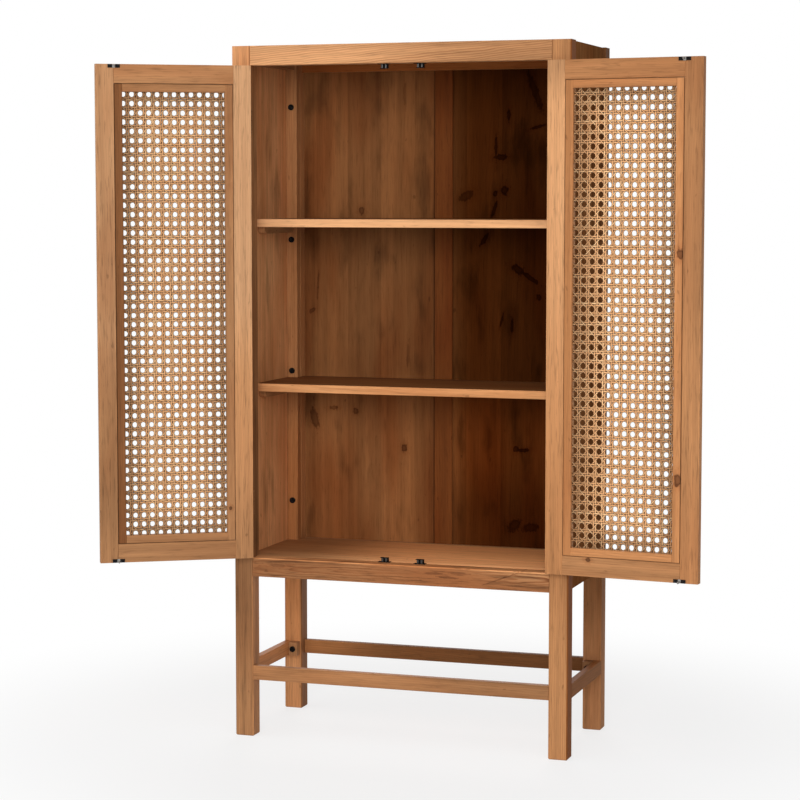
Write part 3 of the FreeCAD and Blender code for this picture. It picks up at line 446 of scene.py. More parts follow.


# Many boards below also carry painted light and shade: tones and tint layers that change along an axis, a
# single face made darker or paler, and like boards made brighter or darker as the light falls on them. The
# comment at each such board says what is painted.
BOARDS = {
    # Painted shade and light: the leg darkens towards the case above it, the post grows paler towards the
    # top, and the right face has its own painted shade.
    "front_left_post": Board(
        Change(Change(Change(0.82, 0.58, "Z", 120, 400), 0.76, "Z", 420, 520), 1.4, "Z", 500, 1720), 0.4,
        red=0.4, darkening=Change(0, -0.3, "Z", 500, 1720), blotch=0.4,
        edge=FaceShade("X", "high", Change(Change(1.06, 0.53, "Z", 430, 520), 0.98, "Z", 500, 1720), 0.15)),
    # Painted shadow: the right face is much darker, as if in the shadow of the open right door.
    "front_right_post": Board(
        1.04, 0.35, (-150, 30), darkening=0.1, edge=FaceShade("X", "high", 1.55, 2.25), blotch=0.2, sheen=0.03),
    # Painted shade: the right face of the leg is darker than its front.
    "rear_left_post": Board(
        Change(1.3, 1.62, "Z", 100, 220), 0.3, (120, 40), darkening=Change(0, 0.6, "Z", 100, 220),
        edge=FaceShade("X", "high", Change(0.72, 1.4, "Z", 430, 520), 0.45), blotch=0.15),
    # Painted shade: paler low down and darker and redder towards the top, where the case and the open door
    # shade it.
    "rear_right_post": Board(
        Change(Change(0.82, 0.67, "Z", 80, 400), 0.46, "Z", 1200, 1700), 0.3, (-120, 40), red=0.45,
        darkening=Change(Change(-0.42, 0.2, "Z", 80, 400), 1.0, "Z", 1200, 1700), blotch=0.2, sheen=0.04),
    "front_top_rail": Board(
        Change(1.22, 0.98, "X", -200, 250), 0.6, (420, 30), red=0, darkening=Change(-0.35, 0, "X", -200, 250),
        slant=0.09, wild=2.2),
    # Painted highlight: the top face, and the arris along the top of the front face, are paler where light
    # falls on them.
    "front_bottom_rail": Board(
        Change(0.84, 0.98, "X", -250, 0), 1.0, (-6, 12), red=0.7, edge=FaceShade("Z", "high", 1.6, 0.1),
        blotch=0.55, flecks=0.4, wild=3.5,
        knots=(
            Knot(457, -330, 4, 6, share=0.5), Knot(458, 94, 3, 9, share=0.6), Knot(450, 133, 3, 10, -3, 0.6),
            Knot(461, 165, 2.5, 10, share=0.5), Knot(454, 276, 1.6, 32, 21, 0.6))),
    # Painted shade: the face towards the inside of the case is darker and redder.
    "rear_top_rail": Board(0.8, edge=FaceShade("Y", "low", 2.9, 2.5), sheen=0.03),
    "rear_bottom_rail": Board(0.8, 0.3, (-120, 45), sheen=0.03),
    "front_stretcher": Board(Change(0.94, 0.78, "X", -50, 250), 0.35, (80, 30), darkening=0.08, blotch=0.25),
    "rear_stretcher": Board(
        Change(Change(1.2, 0.62, "X", -400, -130), 0.46, "X", -130, 200), 0.35, (90, 45), darkening=0.8,
        edge=FaceShade("Y", "high", 0.85, 0), sheen=0.03),
    # Painted light and shade: the left stretcher is made paler than the right one, whose outer face lies in
    # shade.
    "left_stretcher": Board(1.6, 0.35, (-90, 45), darkening=0.6),
    "right_stretcher": Board(0.92, 0.35, (70, 45), darkening=1.1, sheen=0.03),
    # Painted shade: the underside is darker and redder, inside the case.
    "top_panel": Board(1.0, 0.5, (30, 60), staves=True, edge=FaceShade("Z", "low", 2.9, 2.5)),
    # Painted light: paler towards the right and towards the front, where light falls into the case.
    "floor_panel": Board(
        Change(1.0, 2.45, "X", -330, 30), 0.2, (30, 60), staves=True, red=0.2,
        darkening=Change(-0.2, 0.45, "Y", -185, 40), sheen=0.03),
    # Painted light: the front edges of both shelves are paler than their tops, where light falls on them.
    "lower_shelf": Board(
        0.9, 0.3, (20, 60), staves=True, red=0.4, darkening=1.4, edge=FaceShade("Y", "low", 1.62, 0.15), sheen=0.05),
    "upper_shelf": Board(
        0.95, 0.3, (-20, 60), staves=True, red=0.1, darkening=1.4, edge=FaceShade("Y", "low", 1.22, -0.6),
        sheen=0.05),
    # Painted light and shade: the left panel, lit inside the case, is paler than the right one, whose
    # outside lies in the shadow of the open door.
    "left_side_panel": Board(1.55, 0.15, (25, 60), staves=True, red=0.5, blotch=0.35, sheen=0.03),
    "right_side_panel": Board(0.83, 0.15, (-25, 60), staves=True, red=0.4, darkening=1.1, sheen=0),
    # Painted shade: darker in the middle compartment and towards the muntin, with painted shadow deepening
    # the line beside the muntin. The rear face keeps a plain tone.
    "left_back_panel": Board(
        Change(Change(1.02, 0.8, "Z", 860, 960), 1.0, "Z", 1320, 1400), 0.08, (30, 70), staves=True, red=0.6,
        darkening=Change(1.0, 1.55, "X", -190, 0), edge=FaceShade("Y", "high", 1.0, 1), blotch=0.4, sheen=0.02,
        seam=(-27, 0.6),
        knots=(
            Knot(-234, 1376, 8, share=0.7), Knot(-362, 1168, 3, 14, 3, 0.5),
            Knot(-378, 1104, 6, 1.8, 60, 0.7), Knot(-372, 806, 11, 2.6, -12, 0.75),
            Knot(-316, 837, 5, 2.5, 80, 0.6), Knot(-253, 830, 7, share=0.8),
            Knot(-112, 733, 8, share=0.9), Knot(-111, 1690, 4, 8, 0, 0.35), Knot(-102, 985, 4, 9, 3, 0.35))),
    # Painted shadow: dark, and darker still from 18 mm to 90 mm right of the middle onwards, where the right
    # post and side shade the back. The tone changes with height, a faint painted shadow line lies beside the
    # muntin, and the rear face keeps a plain tone.
    "right_back_panel": Board(
        Change(Change(0.98, 1.68, "Z", 560, 740), 0.82, "Z", 860, 930), 0.2, (-30, 60), staves=True, red=0.6,
        darkening=Change(2.1, 3.7, "X", 18, 90), edge=FaceShade("Y", "high", 1.0, 1), blotch=0.55, sheen=0,
        seam=(27, 0.25),
        knots=(
            Knot(62, 1416, 12, 1.9, 65, 0.7), Knot(169, 1431, 10, 1.2, 20), Knot(143, 1422, 6),
            Knot(140, 1379, 5, 5, 20), Knot(145, 1547, 4, 8), Knot(160, 1519, 8, 2.2, 90),
            Knot(180, 1630, 5, 3), Knot(252, 1690, 9, 7, -21, 0.8), Knot(260, 1598, 4, 5, 75),
            Knot(113, 1300, 6, 3.4, 33),
            Knot(207, 1221, 11, 1.8, -58), Knot(240, 1200, 6, 5.5, -55), Knot(265, 1148, 7, 1.2),
            Knot(191, 1071, 4, 6), Knot(162, 1084, 3, 6, 15), Knot(203, 741, 7), Knot(225, 738, 5, 3.5, 85),
            Knot(200, 535, 14, 1.5, 50, 0.8), Knot(245, 530, 12, 2, 80, 0.8))),
    # Painted shade: dark on its front, inside the case. The rear face keeps a plain tone.
    "back_muntin": Board(
        1.5, 0.15, (80, 50), red=0.6, darkening=2.9, edge=FaceShade("Y", "high", 0.95, 0.9), sheen=0.03),
    "left_rear_cleat": Board(
        Change(1.42, 1.12, "Z", 650, 1000), 0.3, darkening=Change(1.0, 0.3, "Z", 650, 1000), blotch=0.15,
        sheen=0.05),
    "right_rear_cleat": Board(0.9, 0.3, darkening=1.5, sheen=0.03),
    "top_battens": Board(0.9, 0.3, grain="Y", sheen=0.03),
    "floor_battens": Board(0.9, 0.3, grain="Y", sheen=0.03),
    "lower_shelf_cleats": Board(1.0, 0.3, grain="Y", sheen=0.03),
    "upper_shelf_cleats": Board(1.0, 0.3, grain="Y", sheen=0.03),
    "corner_blocks": Board(Change(0.82, 0.42, "X", -100, 100), 0.3, grain="Z"),
    # Painted light and shade: tone and tint change with height on both left stiles, following the light that
    # falls on them.
    "left_door_hinge_stile": Board(
        Change(Change(0.88, 1.27, "Z", 480, 800), 0.88, "Z", 900, 1200), 0.2, (170, 30), red=0.1,
        darkening=Change(0, -0.8, "Z", 900, 1200), flecks=0.3),
    "left_door_meeting_stile": Board(
        Change(Change(0.84, 0.7, "Z", 480, 600), 0.82, "Z", 650, 850), 0.2, (-170, 30), red=0.5,
        darkening=Change(0, -0.5, "Z", 800, 1100), flecks=0.3),
    "left_door_top_rail": Board(1.06, 0.2, (160, 30), red=0.4, flecks=0.3),
    "left_door_bottom_rail": Board(0.86, 0.18, (-160, 30)),
    # Painted shade: the free-side bead is much darker than the others.
    "left_door_inner_beads": Board(
        0.95, 0.2, beads=(0.05, 1.3, 0.1), blotch=0.2, knots=(Knot(-339, 611, 4),)),
    "left_door_outer_beads": Board(0.92, 0.2),
    # Painted light and shade: tone and tint change with height on both right stiles, following the light
    # that falls on them.
    "right_door_hinge_stile": Board(
        Change(1.23, 0.85, "Z", 1620, 1740), 0.2, (-170, 30), red=0.1,
        darkening=Change(0.45, -0.35, "Z", 500, 1400), flecks=0.3),
    "right_door_meeting_stile": Board(
        Change(1.2, 1.0, "Z", 900, 1300), 0.2, (170, 30), darkening=0.25, flecks=0.3),
    "right_door_top_rail": Board(1.12, 0.2, (160, 30), darkening=0.4, flecks=0.3),
    "right_door_bottom_rail": Board(1.02, 0.25, (-120, 30), darkening=0.15, knots=(Knot(520, 284, 5),)),
    "right_door_inner_beads": Board(
        1.5, 0.2, beads=(0.75, 0.5, 0.55), knots=(Knot(54, 1277, 9.5), Knot(55, 730, 11))),
    "right_door_outer_beads": Board(1.0, 0.2),
}


def board_axes(node, board):
    """Order of the axes along the grain, across the face and through the board."""
    low, high = board_box(node)
    order = list(np.argsort(low - high))
    if board.grain:
        along = AXES.index(board.grain)
        order.remove(along)
        order.insert(0, along)
    return order


def board_point(finish, node):
    """The point on a board in the cabinet's frame, with the board's door closed."""
    place = finish.place()
    side = door_of(node)
    if not side:
        return place
    centre, closing = hinge_of(side)
    shift = turned(np.zeros(3), centre, closing)
    return finish.node(
        "ShaderNodeMapping", inputs={"Vector": place, "Location": shift, "Rotation": (0, 0, closing)})


class BeadFrame:
    """Where a point lies on a frame of four beads."""

    def __init__(self, node, parts):
        low, high = board_box(node)
        middle, half = ((low + high) / 2).tolist(), ((high - low) / 2).tolist()
        self.parts = parts
        self.from_side, self.from_end = (half[axis] - abs(parts[axis] - middle[axis]) for axis in (0, 2))
        self.cross = self.from_side.rise(BEAD_WIDTH - BEAD_MITRE, BEAD_WIDTH + BEAD_MITRE)
        towards_middle = (parts[0] - middle[0]) * (1.0 if door_of(node) == "left" else -1.0)
        self.free = towards_middle.rise(-BEAD_MITRE, BEAD_MITRE)

    def turned_parts(self):
        """The way along, across and through, with height and width changed over on the cross beads."""
        x, y, z = self.parts
        return z + self.cross * (x - z), x + self.cross * (z - x), y

    def tint_layers(self, hinge, free, cross):
        """Layers of staining tint given for the hinge side, the free side and the cross beads. A bead darker
        than the rest is painted shade.
        """
        upright = hinge + self.free * (free - hinge)
        return upright + self.cross * (cross - upright)

    def from_edge(self):
        """Distance in from the nearest outer edge of the frame."""
        return self.from_side.lesser(self.from_end)

    def joint(self):
        """How near a point is to the open joint round the frame, up to 1 at the joint."""
        return 1 - self.from_edge().rise(0.0, JOINT_LINE)


# Noises of the wood: changes in a metre along the grain and across it, and detail
RIPPLE = (7.0, 26.0, 2.0)
STREAKS = (1.6, 70.0, 3.0)
FLECKS = (22.0, 260.0, 2.0)
CLOUDS = (2.2, 9.0, 2.0)
DENTS = (40.0, 90.0, 1.0)
WEAR = (24.0, 30.0, 3.0)
PATCHES = (5.0, 60.0, 5.0)
STAVE_PATCHES = (5.0, 15.0, 5.0)
FIBRES_ALONG = 14.0
RAGGED_ALONG = 90.0
RAGGED_ACROSS = 160.0
DRIFT_ALONG = 1.1
DRIFT_OF_STAVES = 9.0
FINE_DETAIL = 3.0

# Where the pith lies: the most that noises are moved, the throw of an unglued board, and how the pith strays
SHIFT_REACH = 40
PLAIN_THROW = (0.3, 0.7)
STAVE_SPREAD = 110 * MM
PITH_SLOPE = 0.035
PITH_RISE = 60 * MM
PITH_WANDER = 30 * MM

# Where a noise, a ring or a knot begins to show, and where it shows in full
CLOUD_SPAN = (0.35, 0.7)
FLECK_SPAN = (0.5, 0.75)
PATCH_SPAN = (0.52, 0.72)
WEAR_SPAN = (0.42, 0.66)
DENT_SPAN = (0.72, 0.8)
HOLLOW_SPAN = (0.7, 0.82)
LATEWOOD_START = (0.3, 0.9)
LATEWOOD_END = (0.93, 1.0)
KNOT_RIM = (0.5, 1.5)
KNOT_HEART = (0.1, 0.6)
KNOT_GLOW = (0.8, 7.0)

# What each adds to the colour or takes from the tone
PLAIN_TONE = 0.42
STREAK_TONE = 0.72
FIBRE_TONE = 0.44
STAVE_TONE = 0.3
ARRIS_TONE = 0.3
DENT_TONE = 0.3
JOINT_TONE = 0.6
FAINTEST_RING = 0.3
RUSSET_SHARE = 1.4
GLOW_SHARE = 0.4
KNOT_SHARE = 0.85
KNOT_PALENESS = 0.25
KNOT_BEND = 2.4
RAGGED_GAIN = 3.2
RAGGED_BASE = 1.5
RAGGED_LEAST = -0.7

# What each adds to the roughness and the relief
FIBRE_ROUGHNESS = 0.25
RING_POLISH = 0.06
FIBRE_RELIEF = 0.6
RING_RELIEF = 0.5
WOOD_RELIEF = 0.25 * MM
WOOD_BUMP = 0.5


def grain_noise(finish, place, rates, moved=None, shift=0.0):
    """Noise drawn out along the grain, with one part of the place moved by a shift."""
    along, across, detail = rates
    parts = [part * rate for part, rate in zip(place, (along, across, across))]
    if moved is not None:
        parts[moved] = parts[moved] + shift
    return finish.noise(finish.point(*parts), detail=detail)


def worn_arris(finish, node, order, place):
    """How much the long edges are rubbed: the share falls off with the distance from the nearest arris."""
    look = bpy.context.scene.cabinet_pine
    low, high = board_box(node)
    middle, half = ((low + high)[order] / 2).tolist(), ((high - low)[order] / 2).tolist()
    from_side, from_face = (half[part] - abs(place[part] - middle[part]) for part in (ACROSS, THROUGH))
    wear = grain_noise(finish, place, WEAR).rise(*WEAR_SPAN)
    return (1 - from_side.greater(from_face).rise(0.0, look.arris_width)) * wear


def rings(finish, board, place, middle, shift, throw):
    """Rings counted from the pith: the distance from a pith that wanders along a board, over the spacing."""
    along, across, through = place
    offset = (throw - 0.5) * STAVE_SPREAD if board.staves else 0.0
    path = finish.point(along * DRIFT_ALONG + shift[1], shift[2], throw * DRIFT_OF_STAVES)
    drift = finish.noise(path, detail=1.0) - 0.5
    ripple = grain_noise(finish, place, RIPPLE, ACROSS, shift[0]) - 0.5
    sideways = across - along * board.slant - middle[ACROSS] + board.pith[0] * MM
    sideways = sideways + offset + drift * PITH_WANDER
    lift = along * PITH_SLOPE + drift * PITH_RISE
    depth = through - middle[THROUGH] + board.pith[1] * MM + lift
    spacing = bpy.context.scene.cabinet_pine.ring_spacing
    return (sideways * sideways + depth * depth).root() / spacing + ripple * board.wild


def knotted(finish, board, ring, place, seed):
    """Rings bent round the knots, with the share of the knots' hearts and of the glow about them.

    A heart is dark inside its ragged outline and a little paler in the middle. The glow fades outwards.
    """
    along, across = place[:2]
    ragged = finish.point(along * RAGGED_ALONG, across * RAGGED_ACROSS, float(seed))
    ragged = (finish.noise(ragged, detail=FINE_DETAIL) * RAGGED_GAIN - RAGGED_BASE).greater(RAGGED_LEAST)
    heart = halo = 0.0
    for knot in board.knots:
        reach = knot.reach(along, across, ragged)
        dark = 1 - KNOT_PALENESS + reach.rise(*KNOT_HEART) * KNOT_PALENESS
        glow = (1 - reach.rise(*KNOT_GLOW)) * knot.share
        ring = ring + glow * glow * KNOT_BEND
        heart = ((1 - reach.rise(*KNOT_RIM)) * dark * knot.share).greater(heart)
        halo = glow.greater(halo)
    return ring, heart, halo


def pine(node, board, seed):
    """Waxed pine. The dark latewood ends each ring, and noises drawn out along the grain vary the tone."""
    look = bpy.context.scene.cabinet_pine
    finish = Finish(f"pine_{node}")
    low, high = board_box(node)
    order = board_axes(node, board)
    parts = finish.split(board_point(finish, node))
    beads = BeadFrame(node, parts) if node.endswith("_beads") else None
    place = beads.turned_parts() if beads else [parts[axis] for axis in order]
    across = place[ACROSS]
    chance = np.random.default_rng(SEED + seed)
    shift = chance.uniform(-SHIFT_REACH, SHIFT_REACH, 3).tolist()
    if board.staves:
        throw = finish.dice((across / look.stave_width + shift[0]).whole() + float(seed))
    else:
        throw = chance.uniform(*PLAIN_THROW)

    ring = rings(finish, board, place, ((low + high) / 2)[order].tolist(), shift, throw)
    if board.knots:
        ring, heart, halo = knotted(finish, board, ring, place, seed)
    position = ring.part()
    late = position.rise(*LATEWOOD_START) * (1 - position.rise(*LATEWOOD_END))
    strength = finish.dice(ring.whole() + float(seed)) * (1 - FAINTEST_RING) + FAINTEST_RING
    figure = late * strength * board.figure

    fibres = grain_noise(finish, place, (FIBRES_ALONG, 1 / look.fibre_width, FINE_DETAIL))
    streaks = grain_noise(finish, place, STREAKS, THROUGH, shift[2])
    flecks = grain_noise(finish, place, FLECKS, ACROSS, shift[1]).rise(*FLECK_SPAN)
    clouds = grain_noise(finish, place, CLOUDS, ALONG, shift[0]).rise(*CLOUD_SPAN)
    dents = grain_noise(finish, place, DENTS, ACROSS, shift[1])

    wood = finish.blend(figure, look.earlywood, look.latewood)
    wood = finish.blend(clouds * board.red * RUSSET_SHARE, wood, look.russet)
    if board.knots:
        wood = finish.blend(halo * GLOW_SHARE, wood, look.russet)
        wood = finish.blend(heart * KNOT_SHARE, wood, look.knot)

    tone = PLAIN_TONE + streaks * STREAK_TONE + fibres * FIBRE_TONE
    tone = tone * (1 - flecks * board.flecks)
    if board.staves:
        tone = tone * (throw * STAVE_TONE + 1 - STAVE_TONE / 2)
    elif not beads:
        tone = tone * (1 + worn_arris(finish, node, order, place) * ARRIS_TONE)
    tone = tone * (1 - dents.rise(*DENT_SPAN) * DENT_TONE)
    if board.blotch:
        patches = grain_noise(finish, place, STAVE_PATCHES if board.staves else PATCHES, ACROSS, shift[2])
        tone = tone * (1 - patches.rise(*PATCH_SPAN) * board.blotch)
    # An open joint line, made darker by painted shadow where the muntin stands proud of the panel.
    if board.seam:
        seam, darkness = board.seam
        beside = abs(across - seam * MM).rise(JOINT_LINE / 4, JOINT_LINE)
        tone = tone * (1 - darkness + beside * darkness)
    if beads:
        tone = tone * (1 - beads.joint() * JOINT_TONE)

    # Painted light and shade: the tint layers, the tone and the separate face of a board carry the gradients
    # and shaded faces given in the table, together with real staining.
    tint_layers = beads.tint_layers(*board.beads) if beads else amount(board.darkening, parts)
    level = amount(board.tone, parts)
    if board.edge:
        inside = board.edge.inside(low, high, parts)
        tint_layers = board.edge.tint_layers + inside * (tint_layers - board.edge.tint_layers)
        face = amount(board.edge.tone, parts)
        level = face + inside * (level - face)
    wood = finish.brighten(wood, tone * level)
    if tint_layers:
        wood = finish.tint(wood, finish.point(*(share ** tint_layers for share in look.darkening)))

    relief = fibres * FIBRE_RELIEF + figure * RING_RELIEF - dents.rise(*HOLLOW_SPAN)
    finish.surface(
        Base_Color=wood,
        Roughness=look.roughness + (fibres - 0.5) * FIBRE_ROUGHNESS - figure * RING_POLISH,
        Normal=finish.bump(relief, WOOD_RELIEF, WOOD_BUMP),
        Specular_IOR_Level=board.sheen)
    return finish.material


class CABINET_OT_pine(bpy.types.Operator):
    """Give every wooden piece its own cut of waxed pine."""
    bl_idname = "cabinet.pine"
    bl_label = "Pine boards"

    def execute(self, context):
        for seed, (node, board) in enumerate(BOARDS.items()):
            dress(node, pine(node, board, seed))
        return {"FINISHED"}


def dress(node, material):
    """Puts a material on a carried-over piece in place of its plain one."""
    slots = frame["nodes"][node].material_slots
    if not slots:
        raise RuntimeError(f"{node} has no material slot")
    for slot in slots:
        slot.material = material


# Metal and nylon: the scale and detail of each noise, the span over which it shows, and what it adds

SCUFFS = (900.0, 4.0)
SCUFF_SPAN = (0.62, 0.7)
SCUFF_SHARE = 0.4
ORANGE_PEEL = (2200.0, 1.0)
LACQUER_ROUGHNESS = (0.44, 0.2)
LACQUER_SHEEN = 0.08
BARE_METAL = 0.6
TARNISH_FILM = (260.0, 4.0)
TARNISH_SPAN = (0.38, 0.66)
BRASS_METAL = (0.5, 0.3)
BRASS_ROUGHNESS = (0.34, 0.3)
TURNED_RINGS = 4000.0
GRIME = (500.0, 2.0)
GRIME_TONE = (0.7, 0.6)
NYLON_ROUGHNESS = (0.2, 0.2)
NYLON_SHEEN = 0.8
LACQUER_RELIEF = (0.05 * MM, 0.4)
BRASS_RELIEF = (0.04 * MM, 0.3)
NYLON_RELIEF = (0.05 * MM, 0.3)


def varied(pair, share):
    """A base value plus a share of the most that is added to it."""
    base, most = pair
    return base + share * most


def black_lacquer(name, rubbed=None):
    """Black lacquered steel, with small scuffs of bare metal, and bare along the middle of a rubbed node:
    rubbed steel there, made pale to stand in for painted glints on the spear.
    """
    look = bpy.context.scene.cabinet_fittings
    finish = Finish(name)
    spot = finish.place()
    bare = finish.noise(spot, *SCUFFS).rise(*SCUFF_SPAN) * SCUFF_SHARE
    orange_peel = finish.noise(spot, *ORANGE_PEEL)
    # Painted glint: the middle of a strike is pale bare steel, rubbed and standing in for the glints on its
    # spear.
    if rubbed:
        low, high = board_box(rubbed)
        aside = abs(finish.split(board_point(finish, rubbed))[0] - float(low[0] + high[0]) / 2)
        bare = bare.greater(1 - aside.rise(look.rubbed_glint_width / 4, look.rubbed_glint_width / 2))
    finish.surface(
        Base_Color=finish.blend(bare, look.black, look.bare),
        Metallic=bare * BARE_METAL,
        Roughness=varied(LACQUER_ROUGHNESS, orange_peel),
        Normal=finish.bump(orange_peel, *LACQUER_RELIEF),
        Specular_IOR_Level=LACQUER_SHEEN)
    return finish.material


def aged_brass():
    """Brass gone brown, with darker tarnish in clouds."""
    look = bpy.context.scene.cabinet_fittings
    finish = Finish("aged_brass")
    film = finish.noise(finish.place(), *TARNISH_FILM).rise(*TARNISH_SPAN)
    clean_metal, dulled = BRASS_METAL
    finish.surface(
        Base_Color=finish.blend(film, look.brass, look.tarnish),
        Metallic=clean_metal - film * dulled,
        Roughness=varied(BRASS_ROUGHNESS, film),
        Normal=finish.bump(film, *BRASS_RELIEF))
    return finish.material


def dark_nylon():
    """Dark nylon with the fine rings of a turned roller."""
    look = bpy.context.scene.cabinet_fittings
    finish = Finish("dark_nylon")
    spot = finish.place()
    height = finish.split(spot)[2]
    turning = finish.noise(finish.point(0.0, 0.0, height * TURNED_RINGS), detail=1.0)
    grime = finish.noise(spot, *GRIME)
    finish.surface(
        Base_Color=finish.brighten(look.nylon, varied(GRIME_TONE, grime)),
        Roughness=varied(NYLON_ROUGHNESS, turning),
        Normal=finish.bump(turning, *NYLON_RELIEF),
        Specular_IOR_Level=NYLON_SHEEN)
    return finish.material


class CABINET_OT_fittings(bpy.types.Operator):
    """Finish the catches, strikes, rollers, bolts and hinges."""
    bl_idname = "cabinet.fittings"
    bl_label = "Metal fittings"

    def execute(self, context):
        black, brass, nylon = black_lacquer("black_lacquer"), aged_brass(), dark_nylon()
        for node in frame["nodes"]:
            if node.endswith("_roller"):
                dress(node, nylon)
            elif "hinge_leaves" in node or node == "hinge_pins":
                dress(node, brass)
            elif node.endswith("_strikes"):
                dress(node, black_lacquer(f"{node}_lacquer", node))
            elif node.endswith("_bolts") or node == "catch_brackets":
                dress(node, black)
        return {"FINISHED"}


# Meshes from arrays

def outward(points, faces):
    """Faces turned round where the signed volume that they enclose is negative."""
    corners = points[faces]
    volume = np.einsum("ij,ij->", corners[:, 0], np.cross(corners[:, 1], corners[:, 2]))
    volume += np.einsum("ij,ij->", corners[:, 0], np.cross(corners[:, 2], corners[:, 3]))
    return faces if volume > 0 else faces[:, ::-1]


def piece(name, points, faces, material, body, slot, marks=None):
    """A mesh piece that rides on a body. Marks is a vector kept at each point for the material."""
    mesh = bpy.data.meshes.new(name)
    mesh.from_pydata(points, [], outward(points, faces))
    mesh.polygons.foreach_set("use_smooth", np.ones(len(mesh.polygons), dtype=bool))
    if marks is not None:
        store = mesh.attributes.new("strand", "FLOAT_VECTOR", "POINT")
        store.data.foreach_set("vector", marks.ravel())
    mesh.materials.append(material)
    made = bpy.data.objects.new(name, mesh)
    bpy.context.scene.collection.objects.link(made)
    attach(made, body)
    return made


def swept(paths, side, normal, half_width, half_thickness):
    """A lens-shaped profile of four points carried along many paths at once.

    Each path point plus or minus the side vector times the half width gives the two edges, and plus or
    minus the normal times the half thickness gives the crown and the back. Quads join one ring to the
    next, and a quad closes each end.
    """
    edge, crown = side * half_width, normal * half_thickness
    points = paths[:, :, None, :] + np.stack((edge, crown, -edge, -crown))
    strands, steps = paths.shape[:2]
    index = np.arange(strands * steps * 4).reshape(strands, steps, 4)
    following = np.roll(index, -1, axis=2)
    walls = np.stack((index[:, :-1], following[:, :-1], following[:, 1:], index[:, 1:]), axis=-1)
    first = index[:, 0, ::-1]
    last = index[:, -1]
    return points.reshape(-1, 3), np.concatenate((walls.reshape(-1, 4), first, last))


# Screws

HEAD_CELLS = 8
RECESS_HALF = 0.2
RECESS_REACH = 0.7
RECESS_HEIGHT = 0.3
DOME_FALL = 0.7
HEAD_SINK = 0.2 * MM
STRIKE_SCREWS = 11.5 * MM
STRIKE_SHEET = 1.2 * MM
STRIKE_HEIGHT = 9 * MM
CATCH_WIDTH = 31 * MM
CATCH_TAB = 5.5 * MM
CATCH_SHEET = 1.2 * MM
HINGE_HEIGHT = 64 * MM
LEAF_WIDTH = 15.5 * MM
SCREWS_ON_LEAF = (0.16, 0.5, 0.84)


def head_shape(radius, rise):
    """One screw head: a square grid drawn into a disc, domed on top with a cross recess, and flat beneath.

    A grid point (u, v) goes to (u * root(1 - v * v / 2), v * root(1 - u * u / 2)), and the dome falls with
    the square of the distance from the middle.
    """
    steps = np.linspace(-1, 1, HEAD_CELLS + 1)
    u, v = np.meshgrid(steps, steps, indexing="ij")
    x = u * np.sqrt(1 - v * v / 2)
    y = v * np.sqrt(1 - u * u / 2)
    near, far = np.minimum(abs(u), abs(v)), np.maximum(abs(u), abs(v))
    recess = (near < RECESS_HALF) & (far < RECESS_REACH)
    height = rise * (1 - DOME_FALL * (x * x + y * y)) * np.where(recess, RECESS_HEIGHT, 1)
    top = np.stack((x * radius, y * radius, height), axis=-1).reshape(-1, 3)
    under = top * (1, 1, 0) - (0, 0, HEAD_SINK)
    index = np.arange(u.size).reshape(u.shape)
    cells = np.stack((index[:-1, :-1], index[1:, :-1], index[1:, 1:], index[:-1, 1:]), axis=-1)
    cells = cells.reshape(-1, 4)
    rim = np.concatenate((index[:-1, 0], index[-1, :-1], index[:0:-1, -1], index[0, :0:-1]))
    following = np.roll(rim, -1)
    wall = np.stack((rim, rim + u.size, following + u.size, following), axis=-1)
    return np.concatenate((top, under)), np.concatenate((cells, cells[:, ::-1] + u.size, wall))


def screws(seats, normal, radius, rise, chance):
    """Screw heads on many seats that face one way, each turned by a thrown angle."""
    shape, faces = head_shape(radius, rise)
    normal = np.array(normal, float)
    side = np.roll(normal, 1)
    other = np.cross(normal, side)
    turn = chance.uniform(0, np.pi, (len(seats), 1))
    first = np.cos(turn) * side + np.sin(turn) * other
    second = np.cos(turn) * other - np.sin(turn) * side
    frames = np.stack((first, second, np.broadcast_to(normal, first.shape)), axis=1)
    points = np.asarray(seats)[:, None, :] + shape @ frames
    offsets = np.arange(len(seats))[:, None, None] * len(shape)
    return points.reshape(-1, 3), (faces + offsets).reshape(-1, 4)


def joined(parts):
    """Several meshes as one."""
    points = np.concatenate([part[0] for part in parts])
    starts = np.cumsum([0] + [len(part[0]) for part in parts[:-1]])
    return points, np.concatenate([part[1] + start for part, start in zip(parts, starts)])


def strike_seats(side):
    """Two screws in each strike of a closed door."""
    low, high = board_box(f"{side}_door_strikes")
    middle = (low[0] + high[0]) / 2
    heights = (low[2] + STRIKE_HEIGHT / 2, high[2] - STRIKE_HEIGHT / 2)
    return [(middle + way * STRIKE_SCREWS, low[1] + STRIKE_SHEET, z) for way in (-1, 1) for z in heights]


def catch_seats(level):
    """Two screws in each catch at one level, on the tabs beside its body."""
    low, high = board_box("catch_brackets")
    z = low[2] + CATCH_SHEET if level == "lower" else high[2] - CATCH_SHEET
    outer = high[0] - CATCH_TAB / 2
    inner = high[0] - CATCH_WIDTH + CATCH_TAB / 2
    return [(way * x, (low[1] + high[1]) / 2, z) for way in (-1, 1) for x in (inner, outer)]


def leaf_seats(node, x):
    """Three screws in each hinge leaf of a node, on its face at the given X."""
    low, high = board_box(node)
    y = high[1] - LEAF_WIDTH / 2
    return [(x, y, foot + share * HINGE_HEIGHT)
            for foot in (low[2], high[2] - HINGE_HEIGHT) for share in SCREWS_ON_LEAF]


